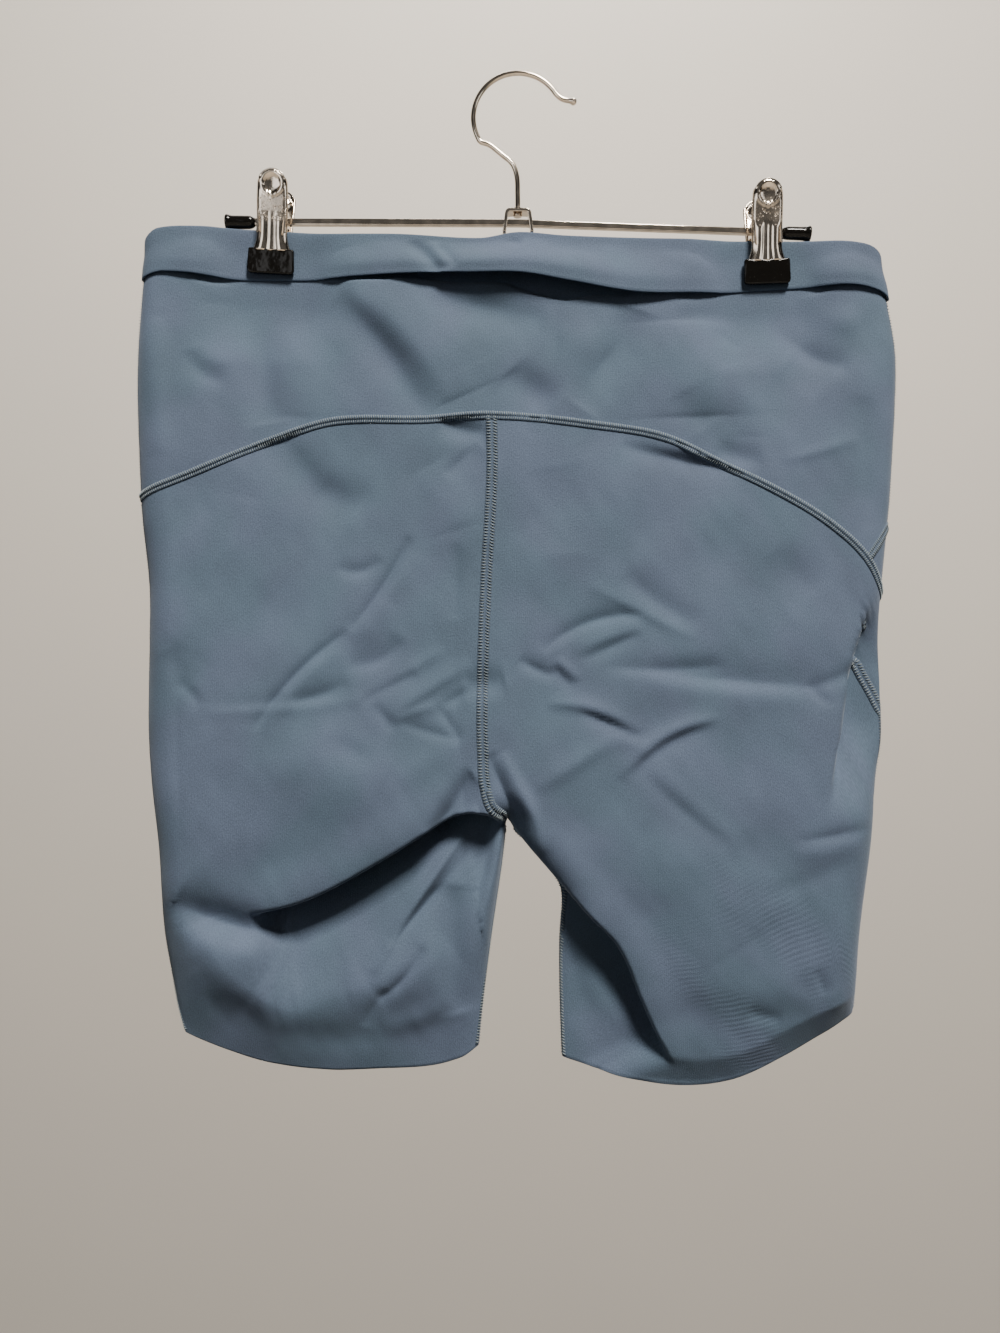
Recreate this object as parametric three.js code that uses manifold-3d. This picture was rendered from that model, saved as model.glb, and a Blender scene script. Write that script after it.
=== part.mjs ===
// Running shorts hung flat from a metal clip hanger, millimetres, +Z up.
// The origin is where a peg bears, inside the top of the hook. +X runs to the right of someone looking at
// the back of the shorts, and -Y points at them, so the back layer is at -Y and the front layer at +Y.
// The cloth is six walls: a yoke and two legs on each layer. Each yoke is folded outwards at its top.

import * as THREE from 'three';
import { mergeVertices } from 'three/addons/utils/BufferGeometryUtils.js';
import Module from 'manifold-3d';

const wasm = await Module();
wasm.setup();

// ---- Driving sizes -------------------------------------------------------------------------------------

const CLOTH = 1.2;
const SEAM = 0.3;
const SIT = 0.3;
const FOLD_RADIUS = 0.75;
const LAYER_APART = SEAM / 2 + CLOTH / 2;
// Half the gap between the layers along their sides: more than half a seam, because the wall edges lean.
const SIDE_GAP = 0.2;

const WIRE = 2.7;
const HOOK_RADIUS = 23.3;
// The hook's shank leans a little left of the middle and bends into the round part, which ends in a bead.
const SHANK_X = -0.2;
const HOOK_NECK = [{ x: -0.2, z: -73 }, { x: -0.2, z: -62 }, { x: -0.7, z: -52 }, { x: -3, z: -45.9 },
  { x: -8.6, z: -41 }, { x: -15, z: -36 }];
const HOOK_ARC = { from: 212, to: 32, turns: 14 };
const HOOK_TIP = [{ x: 23, z: -12.2 }, { x: 27.4, z: -13.2 }];
const BEAD = { radius: 1.95, x: 28.3, z: -13.3 };
const COLLAR = { radius: 2.1, high: 1.1 };
const RIVET = { radius: 2.3, high: 1.2 };
const STRAP = { top: -70.3, foot: -82.5, topHalf: 6.6, footHalf: 8.1, thick: 1.8, deep: 7.0 };
const BAR = { high: 3.4, deep: 3.0, left: -76.5, middle: -77.0, right: -82.0, reach: 137.0 };
const CLIP_PLACES = [
  { name: 'left', x: -126.6, z: -76.5 },
  { name: 'right', x: 128.0, z: -81.7 },
];
const CLIP = {
  sheet: 1.0, handle: 7.4, body: 7.6, flare: 9.8, top: 22.3, shoulder: 9.0, waist: -9.0, end: -16.8,
  tipHalf: 11.8, tipEnd: -29.4, tipDeep: 3.6, tipRound: 2.2, tipTaper: 0.6,
};
// A jaw from the side, from its handle to its end: distance from the bar's middle plane, and height.
const JAW_LINE = [{ y: 12.4, z: 23.5 }, { y: 11, z: 15 }, { y: 8.6, z: 5 }, { y: 7, z: -3 }, { y: 5.7, z: -11 },
  { y: 5.1, z: -18 }];
const JAW_EAR = [{ y: 8.4, z: 5 }, { y: 1, z: 3.8 }, { y: -2.8, z: 2.2 }, { y: -2.8, z: -3 }, { y: 3.4, z: -3.4 },
  { y: 5.8, z: -9 }];
const EAR_PLACE = { near: 6.9, far: 5.5 };
const SPRING = { sheet: 0.8, wide: 7.6, half: 5.7, top: 5.2, bend: -1, endHalf: 4.3, end: -12.4 };
const BAR_CAP = [{ r: 0, a: 0 }, { r: 1.6, a: 0 }, { r: 3.1, a: 2.4 }, { r: 3.3, a: 4 }, { r: 3.4, a: 12.4 },
  { r: 4.1, a: 15 }, { r: 4, a: 15.6 }, { r: 0, a: 15.6 }];

// Each layer's outline and how far it stands out, by height. Roll is how wide its side edges curve over.
const BODY = [
  { z: -78, left: -192.6, right: 188.6, back: 3.2, front: 3.0, roll: 5 },
  { z: -98, left: -193.6, right: 189.0, back: 3.8, front: 3.4, roll: 6 },
  { z: -120, left: -195.6, right: 192.2, back: 5.5, front: 4.5, roll: 8 },
  { z: -145, left: -196.9, right: 195.3, back: 7.5, front: 5.5, roll: 10 },
  { z: -171, left: -197.2, right: 195.2, back: 9.5, front: 6.5, roll: 12 },
  { z: -221, left: -195.8, right: 193.2, back: 12.0, front: 8.0, roll: 13 },
  { z: -234, left: -194.9, right: 192.5, back: 12.6, front: 8.4, roll: 13 },
  { z: -266, left: -192.0, right: 189.6, back: 13.8, front: 9.1, roll: 13 },
  { z: -290, left: -191.6, right: 187.5, back: 15.0, front: 9.5, roll: 13 },
  { z: -320, left: -191.8, right: 188.0, back: 16.0, front: 9.5, roll: 13 },
  { z: -345, left: -190.9, right: 188.3, back: 17.0, front: 9.5, roll: 13 },
  { z: -367, left: -189.4, right: 184.8, back: 18.0, front: 9.5, roll: 13 },
  { z: -401, left: -185.6, right: 182.0, back: 18.5, front: 9.5, roll: 14 },
  { z: -443, left: -183.0, right: 176.6, back: 18.0, front: 9.5, roll: 14 },
  { z: -470, left: -178.6, right: 174.8, back: 16.5, front: 10.0, roll: 14 },
  { z: -487, left: -175.6, right: 173.6, back: 13.5, front: 10.5, roll: 13 },
  { z: -520, left: -167.0, right: 171.0, back: 10.0, front: 11.0, roll: 12 },
];

// The folded waist: its top edge, the free edge of the turned-down flap, and how far that edge stands off.
const WAIST = [
  { x: -196, top: -84.5, edge: -106.8, lift: 0.3 },
  { x: -187, top: -80.5, edge: -104.2, lift: 0.6 },
  { x: -165, top: -79.9, edge: -106.0, lift: 2.0 },
  { x: -150, top: -81.6, edge: -108.6, lift: 1.6 },
  { x: -127, top: -82.4, edge: -109.8, lift: 0.2 },
  { x: -112, top: -83.6, edge: -109.2, lift: 0.4 },
  { x: -90, top: -84.3, edge: -108.8, lift: 2.0 },
  { x: -61, top: -85.0, edge: -107.4, lift: 5.0 },
  { x: -20, top: -87.0, edge: -105.6, lift: 7.0 },
  { x: 0, top: -84.2, edge: -106.3, lift: 7.0 },
  { x: 24, top: -85.6, edge: -109.6, lift: 6.5 },
  { x: 57, top: -87.0, edge: -115.0, lift: 4.0 },
  { x: 82, top: -87.9, edge: -115.0, lift: 2.0 },
  { x: 110, top: -88.3, edge: -114.8, lift: 0.4 },
  { x: 128, top: -88.3, edge: -113.6, lift: 0.2 },
  { x: 154, top: -88.4, edge: -110.6, lift: 2.6 },
  { x: 175, top: -89.2, edge: -110.6, lift: 1.8 },
  { x: 185, top: -92.0, edge: -113.0, lift: 0.9 },
  { x: 192, top: -97.0, edge: -118.6, lift: 0.4 },
];

// Seams across each layer, from the left side to the right.
const BACK_YOKE_SEAM = [
  { x: -195.8, z: -221 },
  { x: -173, z: -211.6 },
  { x: -125, z: -191.7 },
  { x: -93, z: -181.6 },
  { x: -47, z: -180.4 },
  { x: -13.6, z: -177.8 },
  { x: 28, z: -180.9 },
  { x: 73, z: -188.1 },
  { x: 111, z: -205.4 },
  { x: 145, z: -222.9 },
  { x: 169, z: -239.7 },
  { x: 182, z: -258.0 },
  { x: 189.6, z: -266.0 },
];
const FRONT_YOKE_SEAM = [
  { x: -195.8, z: -221 },
  { x: -120, z: -204 },
  { x: -8, z: -196 },
  { x: 110, z: -208 },
  { x: 192.5, z: -234 },
];

// The crotch, the seams that come down to it, and the inner edge of each leg below it.
const CROTCH = { x: -6.6, z: -385 };
const BACK_SEAM = [
  { x: -13.6, z: -177.8 },
  { x: -13.2, z: -209 },
  { x: -16, z: -260 },
  { x: -18, z: -316 },
  { x: -17.8, z: -350 },
  { x: -15.5, z: -374 },
  CROTCH,
];
const FRONT_SEAM = [
  { x: -8, z: -196 },
  { x: -7, z: -300 },
  CROTCH,
];
const LEFT_INNER = [
  CROTCH,
  { x: -8.0, z: -387.6 },
  { x: -8.3, z: -392 },
  { x: -9.8, z: -410 },
  { x: -14.3, z: -447 },
  { x: -18.8, z: -483 },
  { x: -21.0, z: -501.6 },
];
const RIGHT_INNER = [
  CROTCH,
  { x: -5.0, z: -386.8 },
  { x: 6.7, z: -400.2 },
  { x: 18.6, z: -415.4 },
  { x: 22.9, z: -424 },
  { x: 22.1, z: -450 },
  { x: 22.3, z: -479 },
  { x: 23.4, z: -507.7 },
];
const LEFT_HEM = [
  { x: -172.6, z: -498.6 },
  { x: -143.7, z: -505.5 },
  { x: -104, z: -512.2 },
  { x: -65, z: -511.9 },
  { x: -40, z: -509.6 },
  { x: -21, z: -501.6 },
];
const RIGHT_HEM = [
  { x: 23.4, z: -507.7 },
  { x: 50, z: -514.6 },
  { x: 85, z: -520.8 },
  { x: 116, z: -515.3 },
  { x: 143, z: -501.8 },
  { x: 173.6, z: -486.5 },
];

// Where each leg is divided across at the crotch. On the back of the left leg this follows the hanging fold.
const BACK_LEFT_CROSS = [
  { x: -183.3, z: -437 },
  { x: -158, z: -437 },
  { x: -110.6, z: -430 },
  { x: -64.5, z: -405 },
  { x: -31, z: -383.3 },
  CROTCH,
];
const FRONT_LEFT_CROSS = [{ x: -185.6, z: -401 }, CROTCH];
const RIGHT_CROSS = [CROTCH, { x: 182, z: -401 }];

// Big folds of the back layer. Inwards of each line the cloth steps back by a share of its depth, and comes
// out again further on.
const LEFT_FOLD = {
  line: BACK_LEFT_CROSS.slice(1).reverse(),
  deep: 0.66, step: 5, recover: 55, fade: 0.7, below: 1,
};
const RIGHT_FOLD = {
  line: [CROTCH, { x: 17.4, z: -412.7 }, { x: 43.8, z: -440 }, { x: 62, z: -474 }, { x: 80, z: -521 }],
  deep: 0.62, step: 14, recover: 400, fade: 1, below: -1,
};

// Broad hollows (deep above 0) and swells (below 0): a line from one end to the other, and a half width.
const BACK_CREASES = [
  { x0: -96, z0: -112, x1: -46, z1: -172, deep: 2.2, wide: 9 },
  { x0: 62, z0: -124, x1: 36, z1: -164, deep: 2.2, wide: 9 },
  { x0: 66, z0: -206, x1: 114, z1: -218, deep: 1.6, wide: 5 },
  { x0: -62, z0: -326, x1: -84, z1: -360, deep: 1.6, wide: 7 },
  { x0: -140, z0: -378, x1: -110, z1: -330, deep: 1.6, wide: 8 },
  { x0: 64, z0: -309, x1: 152, z1: -318, deep: 2.0, wide: 6 },
  { x0: 18, z0: -326, x1: 54, z1: -333, deep: -2.0, wide: 6 },
  { x0: 54, z0: -366, x1: 98, z1: -338, deep: -2.2, wide: 8 },
];
const FRONT_CREASES = [
  { x0: 120, z0: -250, x1: 30, z1: -330, deep: 2.0, wide: 10 },
  { x0: -130, z0: -262, x1: -40, z1: -345, deep: 2.0, wide: 10 },
  { x0: 130, z0: -350, x1: 40, z1: -392, deep: 1.8, wide: 8 },
  { x0: -140, z0: -360, x1: -40, z1: -396, deep: 1.8, wide: 8 },
];

// ---- Reading the tables --------------------------------------------------------------------------------

const clamp = (value, low, high) => Math.min(Math.max(value, low), high);
const ease = (t) => clamp(t, 0, 1) ** 2 * (3 - 2 * clamp(t, 0, 1));
const mix = (a, b, t) => a + (b - a) * t;

// A smooth value of one column at a place in another column, which rises or falls down the table.
function read(table, by, column, at) {
  const rows = table[0][by] < table[table.length - 1][by] ? table : [...table].reverse();
  const last = rows.length - 1;
  const place = clamp(at, rows[0][by], rows[last][by]);
  let i = 0;
  while (i < last - 1 && place > rows[i + 1][by]) i += 1;
  const slope = (k) => {
    const a = rows[Math.max(k - 1, 0)];
    const b = rows[Math.min(k + 1, last)];
    return (b[column] - a[column]) / (b[by] - a[by]);
  };
  const gap = rows[i + 1][by] - rows[i][by];
  const t = (place - rows[i][by]) / gap;
  const from = rows[i][column] * (1 + 2 * t) * (1 - t) ** 2 + slope(i) * gap * t * (1 - t) ** 2;
  return from + rows[i + 1][column] * t * t * (3 - 2 * t) + slope(i + 1) * gap * t * t * (t - 1);
}

function flatCurve(rows) {
  const points = rows.map((row) => new THREE.Vector3(row.x, 0, row.z));
  return new THREE.CatmullRomCurve3(points, false, 'centripetal');
}

const sampled = (rows, steps) => flatCurve(rows).getPoints(steps);

// How far (x, z) is from a line, on which side of it, and how far along the line its nearest point is.
function beside(line, x, z) {
  let best = { away: Infinity, side: 1, along: 0 };
  for (let i = 0; i < line.length - 1; i += 1) {
    const dx = line[i + 1].x - line[i].x;
    const dz = line[i + 1].z - line[i].z;
    const px = x - line[i].x;
    const pz = z - line[i].z;
    const t = clamp((px * dx + pz * dz) / (dx * dx + dz * dz), 0, 1);
    const away = Math.hypot(px - t * dx, pz - t * dz);
    if (away < best.away) {
      best = { away, side: Math.sign(dx * pz - dz * px) || 1, along: (i + t) / (line.length - 1) };
    }
  }
  return best;
}

// ---- The form of the cloth -----------------------------------------------------------------------------

const NOTCH = [...sampled(LEFT_INNER, 24).reverse(), ...sampled(RIGHT_INNER, 24).slice(1)];
for (const fold of [LEFT_FOLD, RIGHT_FOLD]) fold.points = sampled(fold.line, 24);

// A quarter ellipse: 0 at an edge, 1 once the cloth has rolled flat.
const rollOver = (inset, roll) => Math.sqrt(1 - (1 - clamp(inset / roll, 0, 1)) ** 2);

// 1 under a clip, fading to 0 to its sides and below it.
function pinched(x, z) {
  return Math.max(...CLIP_PLACES.map((clip) => {
    const beyond = Math.abs(x - clip.x) - CLIP.tipHalf - 2;
    const below = clip.z + CLIP.tipEnd - 14 - z;
    return (1 - ease(beyond / 30)) * (1 - ease(below / 34));
  }));
}

function stepBack(fold, x, z) {
  const { away, side, along } = beside(fold.points, x, z);
  const past = side * fold.below * away;
  const stay = fold.fade < 1 ? 1 - ease((along - fold.fade) / (1 - fold.fade)) : 1;
  return fold.deep * stay * ease(past / fold.step) * (1 - ease((past - fold.step) / fold.recover));
}

function creased(creases, x, z) {
  return creases.reduce((sum, crease) => {
    const ends = [{ x: crease.x0, z: crease.z0 }, { x: crease.x1, z: crease.z1 }];
    const { away } = beside(ends, x, z);
    return sum + crease.deep * Math.exp(-((away / crease.wide) ** 2));
  }, 0);
}

// Distance of a layer's middle from the plane between the layers. The leg is -1 left, 1 right.
function depth(layer, leg, x, z) {
  let out = read(BODY, 'z', layer, z);
  if (layer === 'back') {
    out = (out - creased(BACK_CREASES, x, z)) * (1 - stepBack(leg < 0 ? LEFT_FOLD : RIGHT_FOLD, x, z));
  } else {
    out -= creased(FRONT_CREASES, x, z);
  }
  out = mix(out, LAYER_APART - SIDE_GAP, pinched(x, z));
  const roll = read(BODY, 'z', 'roll', z);
  const left = x - read(BODY, 'z', 'left', z);
  const right = read(BODY, 'z', 'right', z) - x;
  const inner = z < CROTCH.z + roll ? beside(NOTCH, x, z).away : roll;
  return SIDE_GAP + out * rollOver(left, roll) * rollOver(right, roll) * rollOver(inner, roll);
}

const outward = { back: -1, front: 1 };

function onCloth(layer, leg, { x, z }) {
  return new THREE.Vector3(x, outward[layer] * depth(layer, leg, x, z), z);
}

// ---- Building walls ------------------------------------------------------------------------------------

// Fills four edges, each a function of 0 to 1 giving { x, z }, that meet at their ends.
function patch(top, bottom, left, right) {
  const corner = [top(0), top(1), bottom(0), bottom(1)];
  return (u, v) => {
    const at = (axis) => mix(top(u)[axis], bottom(u)[axis], v) + mix(left(v)[axis], right(v)[axis], u)
      - mix(mix(corner[0][axis], corner[1][axis], u), mix(corner[2][axis], corner[3][axis], u), v);
    return { x: at('x'), z: at('z') };
  };
}

function solidOf(positions, triangles) {
  const geometry = new THREE.BufferGeometry();
  geometry.setAttribute('position', new THREE.Float32BufferAttribute(positions, 3));
  geometry.setIndex(triangles);
  return geometry;
}

// A wall of even thickness round place(u, v), with a vertex at each of the given steps.
function wall(place, us, vs) {
  const step = 1e-4;
  const limit = (list, value) => clamp(value, list[0], list[list.length - 1]);
  const faces = [[], []];
  for (const v of vs) {
    for (const u of us) {
      const across = place(limit(us, u + step), v).sub(place(limit(us, u - step), v));
      const down = place(u, limit(vs, v + step)).sub(place(u, limit(vs, v - step)));
      const half = across.cross(down).normalize().multiplyScalar(CLOTH / 2);
      faces[0].push(place(u, v).add(half));
      faces[1].push(place(u, v).sub(half));
    }
  }
  const wide = us.length;
  const high = vs.length;
  const id = (face, i, j) => face * wide * high + j * wide + i;
  const triangles = [];
  const quad = (a, b, c, d) => triangles.push(a, b, c, a, c, d);
  for (let j = 0; j < high - 1; j += 1) {
    for (let i = 0; i < wide - 1; i += 1) {
      quad(id(0, i, j), id(0, i + 1, j), id(0, i + 1, j + 1), id(0, i, j + 1));
      quad(id(1, i, j), id(1, i, j + 1), id(1, i + 1, j + 1), id(1, i + 1, j));
    }
  }
  for (let i = 0; i < wide - 1; i += 1) {
    quad(id(0, i + 1, 0), id(0, i, 0), id(1, i, 0), id(1, i + 1, 0));
    quad(id(0, i, high - 1), id(0, i + 1, high - 1), id(1, i + 1, high - 1), id(1, i, high - 1));
  }
  for (let j = 0; j < high - 1; j += 1) {
    quad(id(0, 0, j), id(0, 0, j + 1), id(1, 0, j + 1), id(1, 0, j));
    quad(id(0, wide - 1, j + 1), id(0, wide - 1, j), id(1, wide - 1, j), id(1, wide - 1, j + 1));
  }
  const positions = faces.flat().flatMap((point) => point.toArray());
  return solidOf(positions, triangles);
}

// Even steps from one value to another, closing up towards an end where the cloth rolls over.
function steps(from, to, count, edges = {}) {
  const list = [];
  for (let i = 0; i <= count; i += 1) list.push(mix(from, to, i / count));
  const close = [0.006, 0.022, 0.05];
  const inside = list.filter((value) => !(edges.start && value > from && value - from < 0.07 * (to - from))
    && !(edges.end && value < to && to - value < 0.07 * (to - from)));
  if (edges.start) inside.push(...close.map((share) => mix(from, to, share)));
  if (edges.end) inside.push(...close.map((share) => mix(to, from, share)));
  return inside.sort((a, b) => a - b);
}

const sideEdge = (side, fromZ, toZ) => (t) => {
  const z = mix(fromZ, toZ, t);
  return { x: read(BODY, 'z', side, z), z };
};

function alongCurve(rows) {
  const curve = flatCurve(rows);
  return (t) => curve.getPointAt(t);
}

// Half a seam's gap, so that two pieces end SEAM apart.
const shortBy = (length) => SEAM / 2 / length;

// ---- Yokes ---------------------------------------------------------------------------------------------

// From v = 0 at the flap's free edge to 1 under the fold, over the fold to 2, and down the yoke to 3.
function yoke(layer, seam, centreSeam, legColumns) {
  const sideTop = { left: WAIST[0].top, right: WAIST[WAIST.length - 1].top };
  const seamEnd = { left: seam[0].z, right: seam[seam.length - 1].z };
  const leftEdge = sideEdge('left', sideTop.left, seamEnd.left);
  const rightEdge = sideEdge('right', sideTop.right, seamEnd.right);
  const edgeAt = (column, from, to) => (u) => {
    const x = mix(from.x, to.x, u);
    return { x, z: mix(from.z, to.z, u) + column(x) - mix(column(from.x), column(to.x), u) };
  };
  const foldLine = edgeAt((x) => read(WAIST, 'x', 'top', x) - FOLD_RADIUS, leftEdge(0), rightEdge(0));
  const seamLine = edgeAt((x) => read(seam, 'x', 'z', x), leftEdge(1), rightEdge(1));
  const flat = patch(foldLine, seamLine, leftEdge, rightEdge);
  const height = 100;
  const body = (u, v) => onCloth(layer, 0, flat(u, v * (1 - shortBy(height))));
  const outside = (u, v) => {
    const step = 1e-4;
    const across = body(Math.min(u + step, 1), v).sub(body(Math.max(u - step, 0), v));
    const down = body(u, Math.min(v + step, 1)).sub(body(u, Math.max(v - step, 0)));
    return across.cross(down).normalize().multiplyScalar(-outward.back * outward[layer]);
  };
  const place = (u, v) => {
    if (v >= 2) return body(u, v - 2);
    const fold = body(u, 0);
    const normal = outside(u, 0);
    if (v > 1) {
      const turn = (v - 1) * Math.PI;
      return fold.addScaledVector(normal, FOLD_RADIUS * (1 + Math.cos(turn)))
        .add(new THREE.Vector3(0, 0, FOLD_RADIUS * Math.sin(turn)));
    }
    const drop = read(WAIST, 'x', 'top', fold.x) - FOLD_RADIUS - read(WAIST, 'x', 'edge', fold.x);
    const reach = (1 - v) * drop / Math.abs(flat(u, 1).z - flat(u, 0).z);
    const free = ease((1 - v) * 1.3) * read(WAIST, 'x', 'lift', fold.x) * (1 - pinched(fold.x, fold.z));
    const lift = layer === 'back' ? free : 0.6 * free;
    return body(u, reach).addScaledVector(outside(u, reach), 2 * FOLD_RADIUS + lift);
  };
  // The same columns as the legs below, so that both sides of the seam bend together.
  const share = (centreSeam[0].x - leftEdge(1).x) / (rightEdge(1).x - leftEdge(1).x);
  const us = [
    ...legColumns.left.map((u) => u * share),
    ...legColumns.right.slice(1).map((u) => mix(share, 1, u)),
  ];
  const vs = [0, 0.35, 0.7, 1, 1.25, 1.5, 1.75, 2, 2.12, 2.25, 2.4, 2.6, 2.8, 3];
  return wall(place, us, vs);
}

// ---- Legs ----------------------------------------------------------------------------------------------

function leg(layer, side, yokeSeam, centreSeam, cross, inner, hem, grid) {
  const sign = side === 'left' ? -1 : 1;
  const outerEnd = (rows) => (side === 'left' ? rows[0].z : rows[rows.length - 1].z);
  const half = (top, bottom, innerEdge) => {
    const outer = sideEdge(side, outerEnd(top), outerEnd(bottom));
    const line = (rows, t) => (u) => {
      const [a, b] = side === 'left' ? [outer(t), innerEdge(t)] : [innerEdge(t), outer(t)];
      const x = mix(a.x, b.x, u);
      return { x, z: mix(a.z, b.z, u) + read(rows, 'x', 'z', x)
        - mix(read(rows, 'x', 'z', a.x), read(rows, 'x', 'z', b.x), u) };
    };
    const edges = side === 'left' ? [outer, innerEdge] : [innerEdge, outer];
    return patch(line(top, 0), line(bottom, 1), ...edges);
  };
  const split = 0.62;
  const upper = half(yokeSeam, cross, alongCurve(centreSeam));
  const lower = half(cross, hem, alongCurve(inner));
  const flat = (u, v) => (v < split ? upper(u, v / split) : lower(u, (v - split) / (1 - split)));
  const width = 175;
  const height = 290;
  // The crotch end is cut back more, because the cloth rolls under there and the seam runs aslant.
  const cut = (v) => shortBy(width) * (1.6 + 7 * ease((v - split + 0.05) / 0.05)) * (1 - ease((v - split) / 0.02));
  const place = (u, v) => {
    const trimmed = side === 'left' ? u * (1 - cut(v)) : cut(v) + u * (1 - cut(v));
    return onCloth(layer, sign, flat(trimmed, mix(1.5 * shortBy(height), 1, v)));
  };
  const us = grid.columns[side];
  const above = steps(0, split, grid.above);
  const under = steps(split, 1, grid.under).slice(1);
  return wall(place, us, [...above, split + 0.01, split + 0.022, ...under].sort((a, b) => a - b));
}

// ---- Hanger pieces -------------------------------------------------------------------------------------

// An outline in X and Z, given thickness in Y about the middle plane.
function plate(shape, deep, segments = 10) {
  const geometry = new THREE.ExtrudeGeometry(shape, { depth: deep, bevelEnabled: false, curveSegments: segments });
  return geometry.rotateX(Math.PI / 2).translate(0, deep / 2, 0);
}

// An outline in Y and Z, given width in X about the middle.
function rail(shape, wide) {
  const geometry = new THREE.ExtrudeGeometry(shape, { depth: wide, bevelEnabled: false, curveSegments: 10 });
  const turn = new THREE.Matrix4().makeBasis(
    new THREE.Vector3(0, 1, 0),
    new THREE.Vector3(0, 0, 1),
    new THREE.Vector3(1, 0, 0),
  );
  return geometry.applyMatrix4(turn).translate(-wide / 2, 0, 0);
}

// A bent strip: a line of [a, b] points given an even thickness.
function strip(points, thick) {
  const line = points.map(([a, b]) => new THREE.Vector2(a, b));
  const offset = (i, side) => {
    const before = line[Math.max(i - 1, 0)];
    const after = line[Math.min(i + 1, line.length - 1)];
    const along = after.clone().sub(before).normalize();
    return new THREE.Vector2(-along.y, along.x).multiplyScalar(side * thick / 2).add(line[i]);
  };
  const there = line.map((_, i) => offset(i, 1));
  const back = line.map((_, i) => offset(i, -1)).reverse();
  return new THREE.Shape([...there, ...back]);
}

// Rows of y and z as points, on the near side of the bar for face -1 and the far side for 1.
const sideways = (rows, face) => rows.map(({ y, z }) => [face * y, z]);

const polygon = (points) => new THREE.Shape(points.map(([a, b]) => new THREE.Vector2(a, b)));
const upright = (radius, high, sides, x, z) => new THREE.CylinderGeometry(radius, radius, high, sides)
  .rotateX(Math.PI / 2).translate(x, 0, z);
const block = (wide, deep, high, x, y, z) => new THREE.BoxGeometry(wide, deep, high).translate(x, y, z);

function toSolid(geometry) {
  const bare = geometry.clone();
  bare.deleteAttribute('normal');
  bare.deleteAttribute('uv');
  const merged = mergeVertices(bare, 1e-4);
  return new wasm.Manifold(new wasm.Mesh({
    numProp: 3,
    vertProperties: new Float32Array(merged.attributes.position.array),
    triVerts: new Uint32Array(merged.index.array),
  }));
}

function fromSolid(solid) {
  const mesh = solid.getMesh();
  return solidOf(Array.from(mesh.vertProperties), Array.from(mesh.triVerts));
}

function hook() {
  const centre = -(HOOK_RADIUS - WIRE / 2);
  const arc = [];
  for (let i = 0; i <= HOOK_ARC.turns; i += 1) {
    const angle = THREE.MathUtils.degToRad(mix(HOOK_ARC.from, HOOK_ARC.to, i / HOOK_ARC.turns));
    arc.push({ x: HOOK_RADIUS * Math.cos(angle), z: centre + HOOK_RADIUS * Math.sin(angle) });
  }
  const path = flatCurve([...HOOK_NECK, ...arc, ...HOOK_TIP]);
  const round = new THREE.Shape().absarc(0, 0, WIRE / 2, 0, 2 * Math.PI);
  const wire = new THREE.ExtrudeGeometry(round, { extrudePath: path, steps: 52, curveSegments: 5 });
  const bead = new THREE.SphereGeometry(BEAD.radius, 14, 10).translate(BEAD.x, 0, BEAD.z);
  const collarZ = STRAP.top + SIT + COLLAR.high / 2;
  const rivetZ = STRAP.top - STRAP.thick - SIT - RIVET.high / 2;
  const collar = upright(COLLAR.radius, COLLAR.high, 20, SHANK_X, collarZ);
  const rivet = upright(RIVET.radius, RIVET.high, 20, SHANK_X, rivetZ);
  return fromSolid(toSolid(wire).add(toSolid(bead)).add(toSolid(collar)).add(toSolid(rivet)));
}

// The stirrup that joins hook and bar: the wire turns in a hole in its top, and the bar runs through its legs.
function strap() {
  const { top, foot, topHalf, footHalf, thick, deep } = STRAP;
  const outline = polygon([
    [-topHalf, top], [topHalf, top], [footHalf, foot], [footHalf - thick, foot],
    [topHalf - thick, top - thick], [thick - topHalf, top - thick], [thick - footHalf, foot], [-footHalf, foot],
  ]);
  const wireHole = upright(WIRE / 2 + SIT, 3 * thick, 20, SHANK_X, top);
  const barHole = block(4 * footHalf, BAR.deep + 2 * SIT, BAR.high + 4 * SIT, 0, 0, BAR.middle - 0.1);
  return fromSolid(toSolid(plate(outline, deep)).subtract(toSolid(wireHole)).subtract(toSolid(barHole)));
}

const barSlope = Math.atan2(BAR.middle - BAR.right, BAR.reach);

// One flat bar, bent a little at the stirrup, so that its right half hangs lower.
function bar() {
  const line = [[-BAR.reach, BAR.left], [0, BAR.middle], [BAR.reach, BAR.right]];
  return plate(strip(line, BAR.high), BAR.deep);
}

function barCap(side) {
  const geometry = new THREE.LatheGeometry(BAR_CAP.map(({ r, a }) => new THREE.Vector2(r, a)), 28);
  const z = side < 0 ? BAR.left : BAR.right;
  const tilt = side < 0 ? 0 : barSlope;
  return geometry.rotateZ(-side * Math.PI / 2).rotateY(tilt).translate(side * (BAR.reach + SIT), 0, z);
}

// Half width of a jaw's outline from the front, from its round handle down to the flare over the tip.
function jawOutline() {
  const { handle, body, flare, top, shoulder, waist, end } = CLIP;
  const shape = new THREE.Shape();
  shape.moveTo(-flare, end).lineTo(flare, end).lineTo(body, waist).lineTo(body, shoulder).lineTo(handle, top - handle);
  shape.absarc(0, top - handle, handle, 0, Math.PI);
  return shape.lineTo(-body, shoulder).lineTo(-body, waist);
}

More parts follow.
